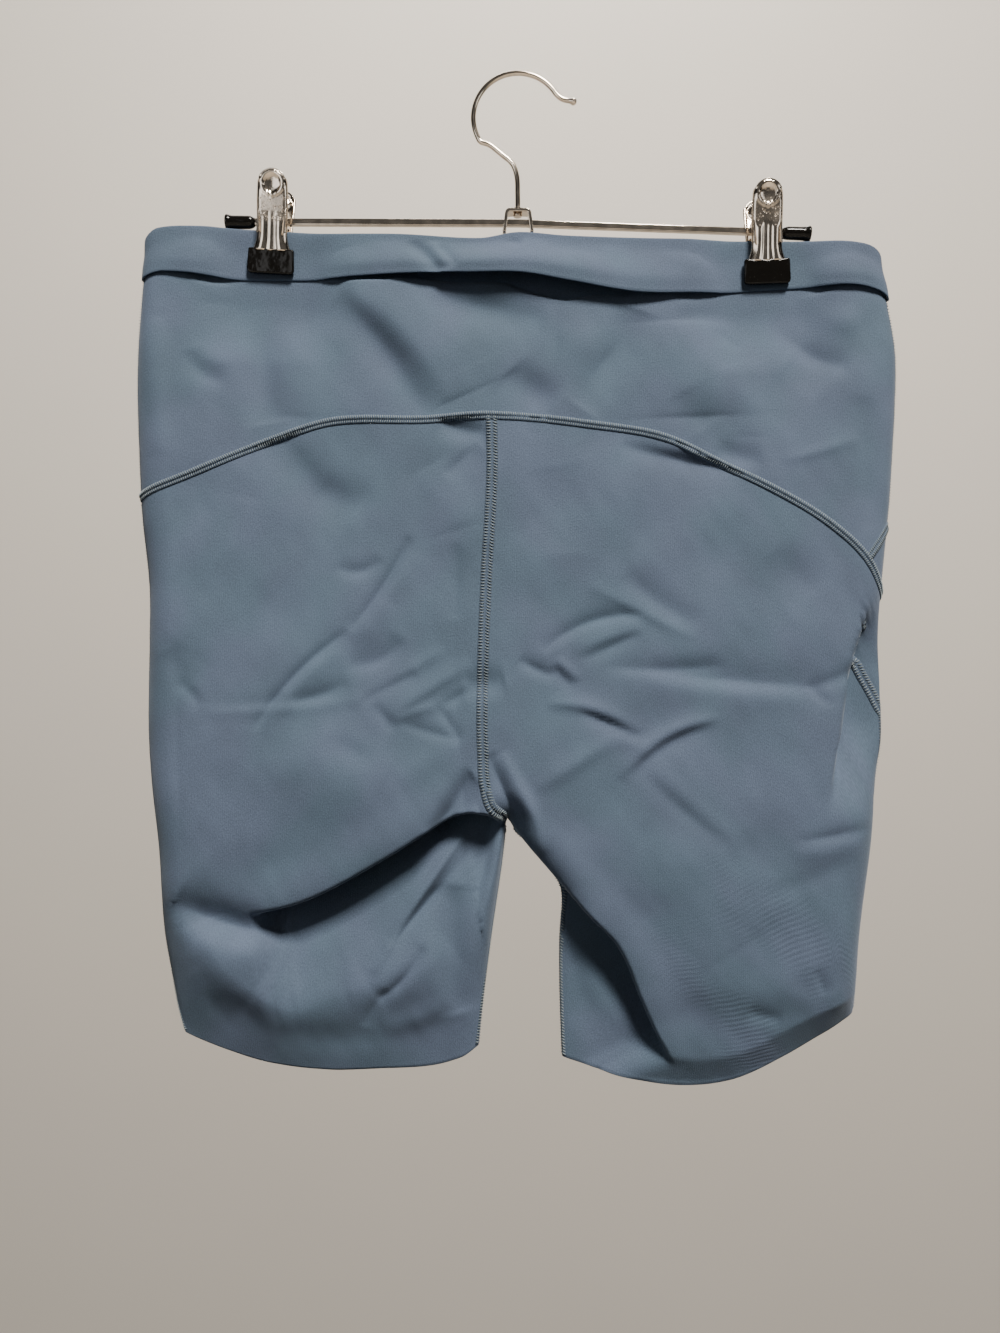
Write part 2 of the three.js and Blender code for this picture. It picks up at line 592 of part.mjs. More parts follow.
// A stamped jaw, with two ears that the bar runs through.
function jaw(face, earAt) {
  const reach = 2 * CLIP.flare + 10;
  const bent = rail(strip(sideways(JAW_LINE, face), CLIP.sheet), reach);
  const sheet = toSolid(bent).intersect(toSolid(plate(jawOutline(), reach, 14)));
  const hole = toSolid(block(reach, BAR.deep + 2 * SIT, BAR.high + 5 * SIT, 0, 0, 0));
  const ear = polygon(sideways(JAW_EAR, face));
  const ears = [-1, 1].map((side) => toSolid(rail(ear, CLIP.sheet).translate(side * earAt, 0, 0)).subtract(hole));
  return fromSolid(ears.reduce((solid, one) => solid.add(one), sheet));
}

// A leaf bent over the bar, whose legs press the jaws' ends together.
function spring() {
  const { sheet, wide, half, top, bend, endHalf, end } = SPRING;
  const bends = 8;
  const line = [[-endHalf, end], [-half, bend]];
  for (let i = 1; i < bends; i += 1) {
    const angle = Math.PI * (1 - i / bends);
    line.push([half * Math.cos(angle), bend + (top - bend) * Math.sin(angle)]);
  }
  return rail(strip([...line, [half, bend], [endHalf, end]], sheet), wide);
}

// The dipped rubber end of a jaw.
function tip(face) {
  const { tipHalf, tipEnd, tipDeep, tipRound, tipTaper, end } = CLIP;
  const top = end - SIT;
  const shape = new THREE.Shape();
  shape.moveTo(-tipHalf + tipRound, tipEnd).lineTo(tipHalf - tipRound, tipEnd);
  shape.quadraticCurveTo(tipHalf, tipEnd, tipHalf, tipEnd + tipRound).lineTo(tipHalf - tipTaper, top);
  shape.lineTo(-tipHalf + tipTaper, top).lineTo(-tipHalf, tipEnd + tipRound);
  shape.quadraticCurveTo(-tipHalf, tipEnd, -tipHalf + tipRound, tipEnd);
  const stack = LAYER_APART + 2 * FOLD_RADIUS + CLOTH / 2 + SIT;
  return plate(shape, tipDeep).translate(0, face * (stack + tipDeep / 2), 0);
}

// ---- The whole -----------------------------------------------------------------------------------------

const finish = {
  cloth: { color: 0x66768a, roughness: 0.85, metalness: 0 },
  chrome: { color: 0xc9c6c1, roughness: 0.18, metalness: 1 },
  rubber: { color: 0x16130f, roughness: 0.3, metalness: 0 },
};

const shorts = new THREE.Group();

function add(name, geometry, look, parent = shorts) {
  const mesh = new THREE.Mesh(geometry, new THREE.MeshStandardMaterial(finish[look]));
  mesh.name = name;
  parent.add(mesh);
}

// A leg's columns, with the nearest two moved to the sides of the clip above them.
function columns(count, clip, from, to) {
  const list = steps(0, 1, count, { start: true, end: true });
  for (const side of [-1, 1]) {
    const wanted = (clip.x + side * (CLIP.tipHalf + 1.5) - from) / (to - from);
    const near = list.reduce((best, u, i) => (Math.abs(u - wanted) < Math.abs(list[best] - wanted) ? i : best), 0);
    list[near] = wanted;
  }
  return list;
}

function layerColumns(seam, centreSeam, count) {
  const middle = centreSeam[0].x;
  return {
    left: columns(count, CLIP_PLACES[0], seam[0].x, middle),
    right: columns(count, CLIP_PLACES[1], middle, seam[seam.length - 1].x),
  };
}

const backGrid = { columns: layerColumns(BACK_YOKE_SEAM, BACK_SEAM, 12), above: 12, under: 9 };
const frontGrid = { columns: layerColumns(FRONT_YOKE_SEAM, FRONT_SEAM, 8), above: 8, under: 6 };
add('back_yoke', yoke('back', BACK_YOKE_SEAM, BACK_SEAM, backGrid.columns), 'cloth');
add('front_yoke', yoke('front', FRONT_YOKE_SEAM, FRONT_SEAM, frontGrid.columns), 'cloth');
for (const side of ['left', 'right']) {
  const [inner, hem] = side === 'left' ? [LEFT_INNER, LEFT_HEM] : [RIGHT_INNER, RIGHT_HEM];
  const [backCross, frontCross] = side === 'left' ? [BACK_LEFT_CROSS, FRONT_LEFT_CROSS] : [RIGHT_CROSS, RIGHT_CROSS];
  const back = leg('back', side, BACK_YOKE_SEAM, BACK_SEAM, backCross, inner, hem, backGrid);
  const front = leg('front', side, FRONT_YOKE_SEAM, FRONT_SEAM, frontCross, inner, hem, frontGrid);
  add(`back_leg_${side}`, back, 'cloth');
  add(`front_leg_${side}`, front, 'cloth');
}

add('hanger_hook', hook(), 'chrome');
add('hanger_strap', strap(), 'chrome');
add('hanger_bar', bar(), 'chrome');
add('bar_cap_left', barCap(-1), 'rubber');
add('bar_cap_right', barCap(1), 'rubber');

for (const place of CLIP_PLACES) {
  const clip = new THREE.Group();
  clip.position.set(place.x, 0, place.z);
  shorts.add(clip);
  add(`clip_${place.name}_jaw_near`, jaw(-1, EAR_PLACE.near), 'chrome', clip);
  add(`clip_${place.name}_jaw_far`, jaw(1, EAR_PLACE.far), 'chrome', clip);
  add(`clip_${place.name}_tip_near`, tip(-1), 'rubber', clip);
  add(`clip_${place.name}_tip_far`, tip(1), 'rubber', clip);
  add(`clip_${place.name}_spring`, spring(), 'chrome', clip);
}

export default shorts;
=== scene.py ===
import math

import bmesh
import bpy
import numpy as np
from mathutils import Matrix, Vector
from mathutils.bvhtree import BVHTree


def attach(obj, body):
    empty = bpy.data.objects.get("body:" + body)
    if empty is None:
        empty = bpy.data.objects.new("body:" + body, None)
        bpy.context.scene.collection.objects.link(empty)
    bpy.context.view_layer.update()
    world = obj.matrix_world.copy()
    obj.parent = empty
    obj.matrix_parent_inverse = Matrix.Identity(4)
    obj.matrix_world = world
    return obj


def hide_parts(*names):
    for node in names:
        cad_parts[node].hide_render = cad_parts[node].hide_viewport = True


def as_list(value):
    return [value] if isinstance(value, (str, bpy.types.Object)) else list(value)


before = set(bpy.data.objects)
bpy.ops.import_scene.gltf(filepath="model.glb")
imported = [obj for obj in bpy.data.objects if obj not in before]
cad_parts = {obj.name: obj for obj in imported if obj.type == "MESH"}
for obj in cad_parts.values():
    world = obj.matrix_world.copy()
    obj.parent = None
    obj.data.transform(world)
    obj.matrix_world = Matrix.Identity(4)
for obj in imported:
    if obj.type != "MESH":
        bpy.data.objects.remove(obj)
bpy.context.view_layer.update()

bl_info = {
    "name": "Running shorts on a clip hanger",
    "version": (1, 0, 0),
    "blender": (4, 5, 0),
    "location": "View3D > Sidebar > Shorts",
    "description": "Builds knit running shorts that hang from a metal clip hanger",
    "category": "Add Mesh",
}

MM = 0.001

# ---- Sizes of the cloth, in millimetres ------------------------------------------------------------------

CLOTH = 0.7
FOLD_RADIUS = 0.75
LAYER_APART = 0.75
SIDE_GAP = 0.2
SEAM_HALF = 0.15
CLIP_AT = {"left": (-126.6, -76.5), "right": (128.0, -81.7)}
CLIP_LEAN = {"left": 3.4, "right": -1.8}
TIP_HALF = 11.8
TIP_END = -29.4


def columns(names, rows):
    """A table as a dict of its named columns."""
    return {n: np.array(c, float) for n, c in zip(names.split(), zip(*rows))}


# Each layer's outline and how far it stands out, by height. Roll is how wide its side edges curve over.
BODY = columns("z left right back front roll", [
    (-78, -191.6, 185.6, 3.2, 3.0, 5),
    (-98, -193.4, 187.4, 3.8, 3.4, 6),
    (-120, -195.4, 191.4, 5.5, 4.5, 8),
    (-145, -196.9, 195.3, 7.5, 5.5, 10),
    (-171, -197.2, 195.2, 9.5, 6.5, 14),
    (-221, -195.2, 192.4, 12.0, 8.0, 17),
    (-234, -194.2, 191.2, 12.6, 8.4, 17),
    (-266, -190.8, 188.0, 13.8, 9.1, 17),
    (-290, -190.6, 186.8, 15.0, 9.5, 17),
    (-320, -191.0, 188.0, 16.0, 9.5, 17),
    (-345, -190.9, 188.3, 17.0, 9.5, 17),
    (-367, -189.4, 184.8, 18.0, 9.5, 17),
    (-401, -185.6, 182.0, 18.5, 9.5, 18),
    (-443, -183.0, 176.6, 18.0, 9.5, 18),
    (-470, -178.6, 174.8, 16.5, 10.0, 18),
    (-487, -175.6, 173.6, 13.5, 10.5, 17),
    (-520, -167.0, 171.0, 10.0, 11.0, 12),
])

# The folded waist: its top edge, the free edge of the turned-down flap, and how far that edge stands off.
WAIST = columns("x top edge lift", [
    (-196, -94.0, -107.4, 0.3),
    (-192, -87.0, -105.6, 0.4),
    (-186, -82.4, -104.2, 0.7),
    (-165, -81.4, -105.8, 2.0),
    (-150, -82.0, -107.0, 1.6),
    (-127, -83.2, -107.3, 0.2),
    (-112, -84.2, -107.4, 0.4),
    (-90, -85.6, -107.5, 2.0),
    (-61, -86.0, -107.1, 5.0),
    (-20, -88.2, -107.3, 7.0),
    (0, -85.2, -107.6, 7.0),
    (24, -87.0, -111.7, 6.5),
    (57, -88.3, -116.4, 4.0),
    (82, -88.8, -115.9, 2.0),
    (110, -89.2, -113.6, 0.4),
    (128, -89.2, -112.3, 0.2),
    (154, -89.6, -111.3, 2.6),
    (175, -90.8, -112.0, 1.8),
    (185, -94.6, -114.6, 0.9),
    (192, -105.0, -118.6, 0.4),
])

# Where the back yoke sinks in under the flap: the edge of the hollow, and how deep it is.
SHELF = columns("x edge deep", [
    (-196, -104.0, 0.0),
    (-176, -104.5, 0.4),
    (-160, -108.8, 1.6),
    (-149, -110.0, 1.4),
    (-138, -110.0, 0.0),
    (-92, -109.0, 0.0),
    (-74, -108.8, 1.4),
    (-54, -107.8, 2.2),
    (-34, -109.9, 2.6),
    (-8, -110.2, 2.8),
    (6, -115.0, 3.2),
    (24, -118.7, 3.4),
    (38, -116.6, 2.6),
    (56, -116.5, 1.6),
    (66, -115.0, 0.0),
    (108, -114.5, 0.0),
    (135, -115.8, 1.4),
    (146, -115.7, 1.6),
    (154, -114.7, 1.4),
    (172, -110.6, 0.5),
    (192, -112.0, 0.0),
])

# Seams across each layer, from the left side to the right.
BACK_YOKE_SEAM = columns("x z", [
    (-195.8, -221),
    (-173, -211.6),
    (-125, -191.7),
    (-93, -181.6),
    (-47, -180.4),
    (-13.6, -177.8),
    (28, -180.9),
    (73, -188.1),
    (111, -205.4),
    (145, -222.9),
    (167, -238.6),
    (178.2, -251.2),
    (186.4, -265.8),
    (189.2, -272.0),
])
FRONT_YOKE_SEAM = columns("x z", [
    (-195.8, -221),
    (-120, -204),
    (-8, -196),
    (110, -208),
    (192.5, -234),
])

# The crotch, the seams that come down to it, and the inner edge of each leg below it.
CROTCH = (-5.6, -386.2)
BACK_SEAM = [
    (-13.6, -177.8), (-13.2, -209), (-16, -260), (-18, -316), (-17.8, -350), (-15.5, -374), CROTCH,
]
FRONT_SEAM = [(-8, -196), (-7, -300), CROTCH]
LEFT_INNER = [
    CROTCH, (-6.6, -388.8), (-7.0, -393), (-8.9, -410), (-14.3, -447), (-18.8, -483), (-21.0, -505.0),
]
RIGHT_INNER = [
    CROTCH, (-4.0, -388.0), (6.7, -400.2), (18.6, -415.4), (22.9, -424), (22.1, -450), (22.3, -479),
    (23.4, -510.6),
]
LEFT_HEM = columns("x z", [
    (-172.6, -498.0),
    (-150, -507.0),
    (-129, -513.4),
    (-98, -516.8),
    (-72, -516.4),
    (-46, -514.8),
    (-29, -510.2),
    (-21, -505.0),
])
RIGHT_HEM = columns("x z", [
    (23.4, -507.6),
    (53, -516.4),
    (84, -521.8),
    (110, -519.4),
    (136, -508.4),
    (156, -496.8),
    (173.6, -486.5),
])

# Where each leg is divided across at the crotch. On the back of the left leg this follows the hanging fold.
BACK_LEFT_CROSS = [
    (-183.3, -437), (-158, -436), (-110.6, -427), (-64.5, -403), (-42, -389), (-28, -382.2), CROTCH,
]
FRONT_LEFT_CROSS = [(-185.6, -401), CROTCH]
RIGHT_CROSS = [CROTCH, (182, -401)]

# Big hanging folds of the back layer. Past its line, on the side that below says, the cloth steps back by a
# share of its depth (deep) over a width (step), and comes out again further on (recover). Along the line
# the step rises from a share (start) over a share of its length (rise), and fades from one share to another
# (fade, gone). The lip hangs over by drop, along a direction in the cloth's plane.
LEFT_FOLD = {
    "line": BACK_LEFT_CROSS[:0:-1],
    "below": 1, "deep": 0.84, "step": 5, "recover": 90,
    "start": 0.25, "rise": 0.06, "fade": 0.76, "gone": 0.88,
    "drop": 7.0, "way": (0.36, -0.93),
}
RIGHT_FOLD = {
    "line": [
        CROTCH, (17.4, -412.7), (36.2, -434), (50.5, -449), (62.3, -476.7), (70, -493.6), (79, -509),
        (86, -521),
    ],
    "below": -1, "deep": 0.88, "step": 6, "recover": 330,
    "start": 0.25, "rise": 0.06, "fade": 0.80, "gone": 0.95,
    "drop": 5.0, "way": (-0.8, -0.6),
}
# The side fold on the right of the back: right of this line the cloth lies deeper, and the side seam shows.
SIDE_FOLD = {
    "line": [
        (186.6, -267.5), (183.4, -270), (179, -277), (174.5, -287), (172, -295), (169.5, -303), (166.5, -318),
        (163.5, -336), (160.5, -352), (157, -368), (154, -386),
    ],
    "below": 1, "deep": 0.8, "step": 4, "recover": 400, "start": 0, "rise": 0.34, "fade": 0.55, "gone": 1,
    "drop": 3.4, "way": (0.96, -0.28),
}
# How far the right side seam lies inwards of the edge, by height.
SIDE_SEAM_SHIFT = columns("z shift", [
    (-284, 11.0), (-292, 13.4), (-301, 14.2), (-308, 12.0), (-314, 9.0), (-322, 4.6), (-332, 0),
])

# Creases, each as x0 z0 x1 z1 bow high above below crisp: a line from one end to the other, how far its
# middle bows to its upper side, the height of the ridge (below 0 a trough), its half widths above and below
# the line, and how crisp its crest is (2 is soft).
BACK_YOKE_CREASES = [
    (-92, -110, -34, -172, 8, 3.4, 28, 11, 2),
    (-94, -118, -48, -178, 3, -1.5, 7, 9, 2),
    (-46, -121, 14, -131, 2, -1.9, 8, 10, 2),
    (-4, -156, 19, -174, -1, -2.0, 9, 10, 2),
    (61, -124, 33, -176, -2, -2.2, 10, 10, 2),
    (88, -130, 90, -180, 0, 2.6, 24, 24, 2),
    (80, -129, 138, -127, 2, -1.2, 5, 5, 1.8),
    (132, -124, 170, -155, -6, -2.4, 7, 6, 1.7),
    (140, -150, 158, -164, 0, -1.4, 10, 9, 2),
    (102, -135, 114, -145, 1, -0.9, 3, 3, 1.6),
    (81, -117, 95, -118, 2, -0.6, 2, 2, 1.6),
    (84, -168, 95, -186, 0, -0.9, 10, 10, 2),
    (-164, -120, -124, -120, 0, -0.6, 4, 3, 2),
    (-170, -146, -150, -162, -4, -0.9, 5, 4, 1.7),
    (-166, -142, -146, -152, -3, 0.4, 5, 4, 2),
    (-131, -126, -129, -184, -2, -2.4, 10, 8, 2),
    (-116, -130, -112, -180, 2, 1.2, 12, 12, 2),
    (134, -203, 174, -191, -1, 0.6, 3, 2.5, 1.4),
    (102, -196, 124, -202, -2, -1.2, 6, 5, 2),
    (150, -128, 176, -133, 1, 1.0, 7, 7, 2),
    (-186, -128, -184, -200, 0, 1.0, 6, 8, 2),
    (20, -140, 44, -150, 2, 1.2, 12, 12, 2),
    (176, -170, 180, -240, 0, -0.8, 8, 6, 2),
    (112, -152, 118, -190, 2, 0.8, 9, 9, 2),
]
BACK_LEFT_CREASES = [
    (-170, -372, -30, -366, 0, 3.0, 70, 34, 2),
    (-40, -182, -16, -188, -2, -2.6, 5, 6, 1.8),
    (-21, -195, -38, -211, 0, -1.1, 3, 6, 1.6),
    (-45, -206, -31, -238, 1, 1.3, 11, 12, 2),
    (-124, -186, -84, -232, -5, -2.8, 10, 12, 2),
    (-100, -214, -74, -226, -1, -1.2, 9, 9, 2),
    (-55, -242, -85, -290, -2, -2.0, 2.8, 2.2, 1.4),
    (-52, -250, -84, -292, -2, 0.7, 4, 6, 1.8),
    (-86, -290, -133, -340, 4, -2.0, 2.8, 2.2, 1.4),
    (-88, -300, -128, -342, 5, 0.8, 3, 6, 1.8),
    (-93, -257, -70, -253, -5, -1.3, 4, 3, 1.6),
    (-59, -294, -87, -307, -5, -1.5, 6, 4, 1.7),
    (-64, -276, -84, -296, -2, 0.7, 6, 6, 2),
    (-86, -316, -114, -327, -1, -1.2, 4, 3.6, 1.7),
    (-52, -311, -80, -325, 0, -1.3, 4, 3, 1.6),
    (-38, -299, -86, -327, -1, 1.0, 4, 3, 1.7),
    (-24, -307, -66, -334, 1, 1.1, 5, 3, 1.7),
    (-25, -320, -38, -328, 0, -1.0, 3, 2.4, 1.6),
    (-63, -335, -38, -327, 1, 0.9, 2, 3, 1.4),
    (-42, -326, -29, -346, 0, -1.1, 3, 2, 1.4),
    (-60, -336, -29, -345, -1, -1.0, 3, 2, 1.4),
    (-160, -331, -82, -325, -1, 0.7, 2.4, 3, 1.5),
    (-150, -328, -90, -322, -1, -0.5, 4, 3, 1.8),
    (-173, -316, -161, -329, 2, -1.0, 3, 3, 1.6),
    (-178, -300, -166, -318, 0, -0.8, 6, 6, 2),
    (-74, -327, -63, -341, 1, -0.8, 3, 3, 1.6),
    (-96, -344, -74, -356, 0, -0.8, 5, 6, 2),
    (-31, -246, -32, -284, 0, -1.0, 5, 3, 1.5),
    (-140, -222, -168, -300, -4, 1.2, 16, 16, 2),
    (-130, -352, -70, -372, 2, 1.4, 20, 18, 2),
    (-30, -350, -60, -366, 2, 0.8, 8, 8, 2),
    (-47, -386, -23, -362, 1, -4.8, 3.4, 7, 1.7),
    (-33, -386, -22, -375, 2, 2.4, 3, 4, 1.6),
    (-174, -426, -118, -442, -5, -6.4, 11, 7, 1.8),
    (-166, -448, -126, -460, 3, 0.8, 8, 12, 2),
    (-163, -438, -122, -482, -8, 1.6, 14, 12, 2),
    (-134, -474, -74, -472, -11, 1.8, 18, 12, 2),
    (-87, -474, -36, -450, -3, 2.0, 14, 9, 1.8),
    (-48, -450, -72, -478, -3, -2.2, 3.4, 3, 1.5),
    (-67, -472, -79, -492, 1, -0.9, 3, 4, 1.5),
    (-26, -391, -74, -464, 1, 3.4, 3.6, 2.6, 1.4),
    (-22, -396, -66, -450, -2, -2.4, 4, 3, 1.7),
    (-43, -423, -76, -462, 1, -0.9, 3, 4, 1.8),
    (-20, -392, -42, -424, 0, 1.4, 4, 4, 1.6),
    (-34, -420, -29, -486, -2, -3.4, 9, 8, 2),
    (-116, -448, -125, -471, 1, 0.6, 4, 4, 1.7),
    (-122, -492, -52, -492, -6, -1.1, 11, 9, 2),
    (-164, -464, -106, -497, -7, -0.8, 13, 12, 2),
    (-70, -494, -34, -478, -2, 1.0, 6, 6, 2),
]
BACK_RIGHT_CREASES = [
    (52, -195, 116, -208, -1, -2.4, 3.4, 6, 1.5),
    (70, -196, 112, -202, 1, 1.1, 4, 4, 1.7),
    (36, -267, 89, -294, 0, 1.0, 4, 2.4, 1.4),
    (54, -261, 91, -287, -2, -1.4, 6, 5, 1.8),
    (12, -300, 65, -282, 6, -2.2, 4, 3, 1.5),
    (28, -301, 62, -288, 1, 1.1, 5, 3, 1.6),
    (32, -305, 62, -291, 0, -1.2, 3, 3, 1.5),
    (0, -304, 19, -313, -1, -1.7, 3, 3, 1.5),
    (19, -304, 30, -315, 0, 1.5, 2.4, 2, 1.4),
    (17, -308, 28, -319, 0, -1.0, 2.4, 3, 1.6),
    (44, -308, 105, -307, -2, -1.5, 5, 3, 1.6),
    (64, -310, 152, -318, -1, -2.4, 9, 4, 1.6),
    (70, -318, 146, -326, 0, 0.8, 5, 9, 2),
    (148, -319, 168, -306, -1, -1.5, 3, 3, 1.5),
    (146, -316, 155, -328, 0, -1.2, 3, 2.4, 1.5),
    (14, -327, 60, -342, 5, 1.8, 4, 2.4, 1.5),
    (30, -331, 62, -344, 1, -1.6, 2.4, 4, 1.5),
    (51, -365, 101, -334, 7, 2.4, 4, 2.4, 1.5),
    (56, -364, 97, -339, 4, -1.2, 2.4, 5, 1.7),
    (9, -370, 50, -343, 0, 1.4, 5, 4, 1.7),
    (48, -343, 66, -352, 1, 0.8, 4, 4, 1.7),
    (-15, -352, 8, -402, -1, -2.8, 4, 3.4, 1.6),
    (-9, -352, 16, -400, 0, 2.6, 3, 8, 1.8),
    (62, -361, 106, -399, -1, -0.9, 4, 4, 1.7),
    (68, -360, 112, -398, -1, 0.6, 5, 5, 2),
    (140, -396, 178, -388, -1, -1.2, 3, 4, 1.5),
    (138, -402, 176, -394, -1, 0.7, 4, 5, 1.8),
    (120, -424, 170, -404, -2, -0.6, 5, 5, 2),
    (150, -460, 155, -474, 0, -1.0, 3, 3, 1.5),
    (116, -482, 134, -487, -1, -1.2, 4, 4, 1.8),
    (138, -466, 158, -476, 0, -0.7, 6, 6, 2),
    (60, -400, 110, -450, 4, 1.6, 26, 26, 2),
    (130, -250, 150, -272, 0, -1.0, 9, 9, 2),
    (100, -238, 60, -262, 2, 0.8, 12, 12, 2),
    (20, -206, 24, -250, 1, -1.0, 12, 12, 2),
    (181, -280, 177, -300, 0, -1.2, 4, 4, 2),
    (30, -462, 68, -500, -2, 1.4, 8, 8, 2),
    (26, -440, 40, -500, -2, -0.8, 7, 7, 2),
]
# The seat's dent on the centre seam, shared by both legs.
SEAT_DENT = [(-27, -319, -7, -315, 0, -2.2, 7, 6, 2)]

# The front of the shorts, which hangs against the wall side: flatter, with its own spread of creases.
FRONT_YOKE_CREASES = [
    (86, -112, 48, -160, -6, 1.8, 20, 9, 2),
    (94, -118, 60, -166, -3, -1.4, 8, 8, 2),
    (-90, -114, -52, -158, 6, 1.6, 22, 9, 2),
    (-98, -118, -64, -168, 4, -1.4, 8, 8, 2),
    (-30, -128, 36, -132, 2, -1.6, 9, 10, 2),
    (-150, -136, -168, -168, 2, -1.2, 6, 6, 1.8),
    (148, -140, 170, -176, -3, -1.3, 6, 6, 1.8),
    (-20, -160, 10, -182, 1, 1.0, 12, 12, 2),
    (118, -180, 160, -196, 0, 0.7, 5, 5, 1.6),
    (-134, -178, -100, -190, 0, -0.8, 6, 6, 1.8),
]
FRONT_LEG_CREASES = [
    (-120, -252, -60, -300, -4, -1.4, 8, 8, 1.9),
    (-56, -286, -100, -324, 3, 1.2, 5, 4, 1.6),
    (-30, -318, -84, -344, 2, -1.2, 4, 4, 1.5),
    (-26, -352, -84, -366, 3, 1.2, 5, 4, 1.6),
    (-150, -330, -92, -338, 0, -0.8, 4, 4, 1.7),
    (-24, -376, -80, -404, 4, -1.6, 6, 6, 1.7),
    (-150, -384, -90, -420, -4, 1.2, 12, 9, 2),
    (-60, -430, -40, -480, -2, -1.2, 7, 7, 1.9),
    (-140, -450, -120, -492, 1, -0.8, 6, 6, 1.9),
    (116, -254, 56, -292, 4, -1.4, 8, 8, 1.9),
    (22, -300, 84, -318, -4, 1.2, 5, 4, 1.6),
    (10, -330, 62, -352, -2, -1.2, 4, 4, 1.5),
    (16, -362, 76, -350, 4, 1.0, 5, 4, 1.6),
    (96, -330, 150, -336, 0, -0.9, 4, 4, 1.7),
    (10, -388, 70, -424, -4, -1.5, 6, 6, 1.7),
    (90, -392, 150, -410, 3, 1.2, 12, 9, 2),
    (60, -440, 44, -490, 2, -1.2, 7, 7, 1.9),
    (140, -440, 130, -486, 1, -0.8, 6, 6, 1.9),
    (-8, -250, 14, -268, 0, -0.8, 6, 6, 1.8),
]
# Dents of the turned-down flap.
FLAP_CREASES = [
    (-56, -88, -39, -107, 0, -2.6, 4, 4, 1.7),
    (-46, -88, -36, -104, 0, 1.6, 3, 3, 1.7),
    (-42, -91, -32, -104, 0, -2.0, 3, 3, 1.7),
    (-8, -85, 2, -91, 0, -1.6, 3, 3, 1.8),
    (14, -92, 46, -96, 1, -0.5, 4, 4, 2),
    (-100, -92, -70, -94, 0, -0.4, 5, 5, 2),
    (74, -98, 104, -100, 0, 0.4, 6, 6, 2),
]

# Lines past which the back of a leg turns away towards the front: how far before the line that starts, how
# the turn is shared out down to the hem, and how far from the middle plane the hem then is.
LEFT_TURN = {
    "line": [
        (-30, -396), (-33, -424), (-42, -453), (-62, -468), (-91, -482), (-108, -489), (-120, -489),
        (-138, -478), (-151, -467), (-160, -453), (-164, -430), (-166, -412),
    ],
    "early": 7, "bend": 1.25, "at_hem": 1.6,
}
RIGHT_TURN = {
    "line": [
        (184, -476), (172, -479), (154, -486), (136, -496), (118, -506), (96, -511), (78, -509), (62, -503),
        (40, -494),
    ],
    "early": 3, "bend": 1.1, "at_hem": 5.0,
}

# The back's creases by leg: -1 is the left one, 1 the right one and 0 the yoke.
BACK_CREASES = {
    -1: BACK_LEFT_CREASES + SEAT_DENT,
    0: BACK_YOKE_CREASES,
    1: BACK_RIGHT_CREASES + SEAT_DENT,
}
# How much the tables' heights are raised on the back, by leg, and on the front.
BACK_GAIN = {0: 1.4, -1: 1.2, 1: 1.0}
FRONT_GAIN = 1.7
# The uneven waves between the creases: how long each kind is, and its share of the height that each layer
# has.
WAVES = [(34, 1), (12, 0.3), (56, 3.4)]
WAVE_HIGH = {"back": 0.16, "front": 0.2}
WAVE_SEED = {"back": 11, "front": 23}

# The lip of a hanging fold: the share of the fold's length over which it grows, how far above the fold the
# cloth starts to drop and how far below its edge is drawn in, and its bulge with its place and width.
HANG = {"grow": 0.13, "above": 16, "below": 4.2, "bulge": 1.4, "bulge_at": 5, "bulge_wide": 7}
# A yoke's creases fade out above a height, over a distance, towards its fold.
YOKE_CREASES_END = {"z": -104, "over": 14}
# The flap lifts off by a share of its length (grow), less on the front, and its free edge curls in by curl
# over the last part of it. Its own waves are long and high.
FLAP = {"grow": 1.3, "front": 0.6, "curl": 0.7, "curl_from": 0.72, "seed": 5, "long": 30, "high": 0.12}
# About how long a yoke and a leg are and how wide a leg is, to turn the gap at a seam into a share.
YOKE_LONG = 100
LEG_LONG = 290
LEG_WIDE = 175

# How finely the cloth is divided: rows of each piece, and where a leg's rows change from above the crotch
# to below.
YOKE_ROWS = {"back": 96, "front": 60}
LEG_ROWS = {"back": (132, 76), "front": (92, 50)}
FOLD_ROWS = 11
FLAP_ROWS = 19
LEG_SPLIT = 0.62
LEG_SHARE = 0.55
# On the back of the right leg, the column at LIP follows the hanging fold and starts from LIP_TOP of the
# width.
LIP = 0.3
LIP_TOP = 0.05

# ---- Reading the tables ----------------------------------------------------------------------------------


def ease(t):
    t = np.clip(t, 0, 1)
    return t * t * (3 - 2 * t)


def mix(a, b, t):
    return a + (b - a) * t


def read(rows, by, column, at):
    """A smooth value of one column at places in another column, which rises or falls down the table."""
    x, y = rows[by], rows[column]
    if x[0] > x[-1]:
        x, y = x[::-1], y[::-1]
    slope = np.gradient(y, x)
    slope[1:-1] = (y[2:] - y[:-2]) / (x[2:] - x[:-2])
    place = np.clip(at, x[0], x[-1])
    i = np.clip(np.searchsorted(x, place, side="right") - 1, 0, len(x) - 2)
    gap = x[i + 1] - x[i]
    t = (place - x[i]) / gap
    start = y[i] * (1 + 2 * t) * (1 - t) ** 2 + slope[i] * gap * t * (1 - t) ** 2
    return start + y[i + 1] * t * t * (3 - 2 * t) + slope[i + 1] * gap * t * t * (t - 1)


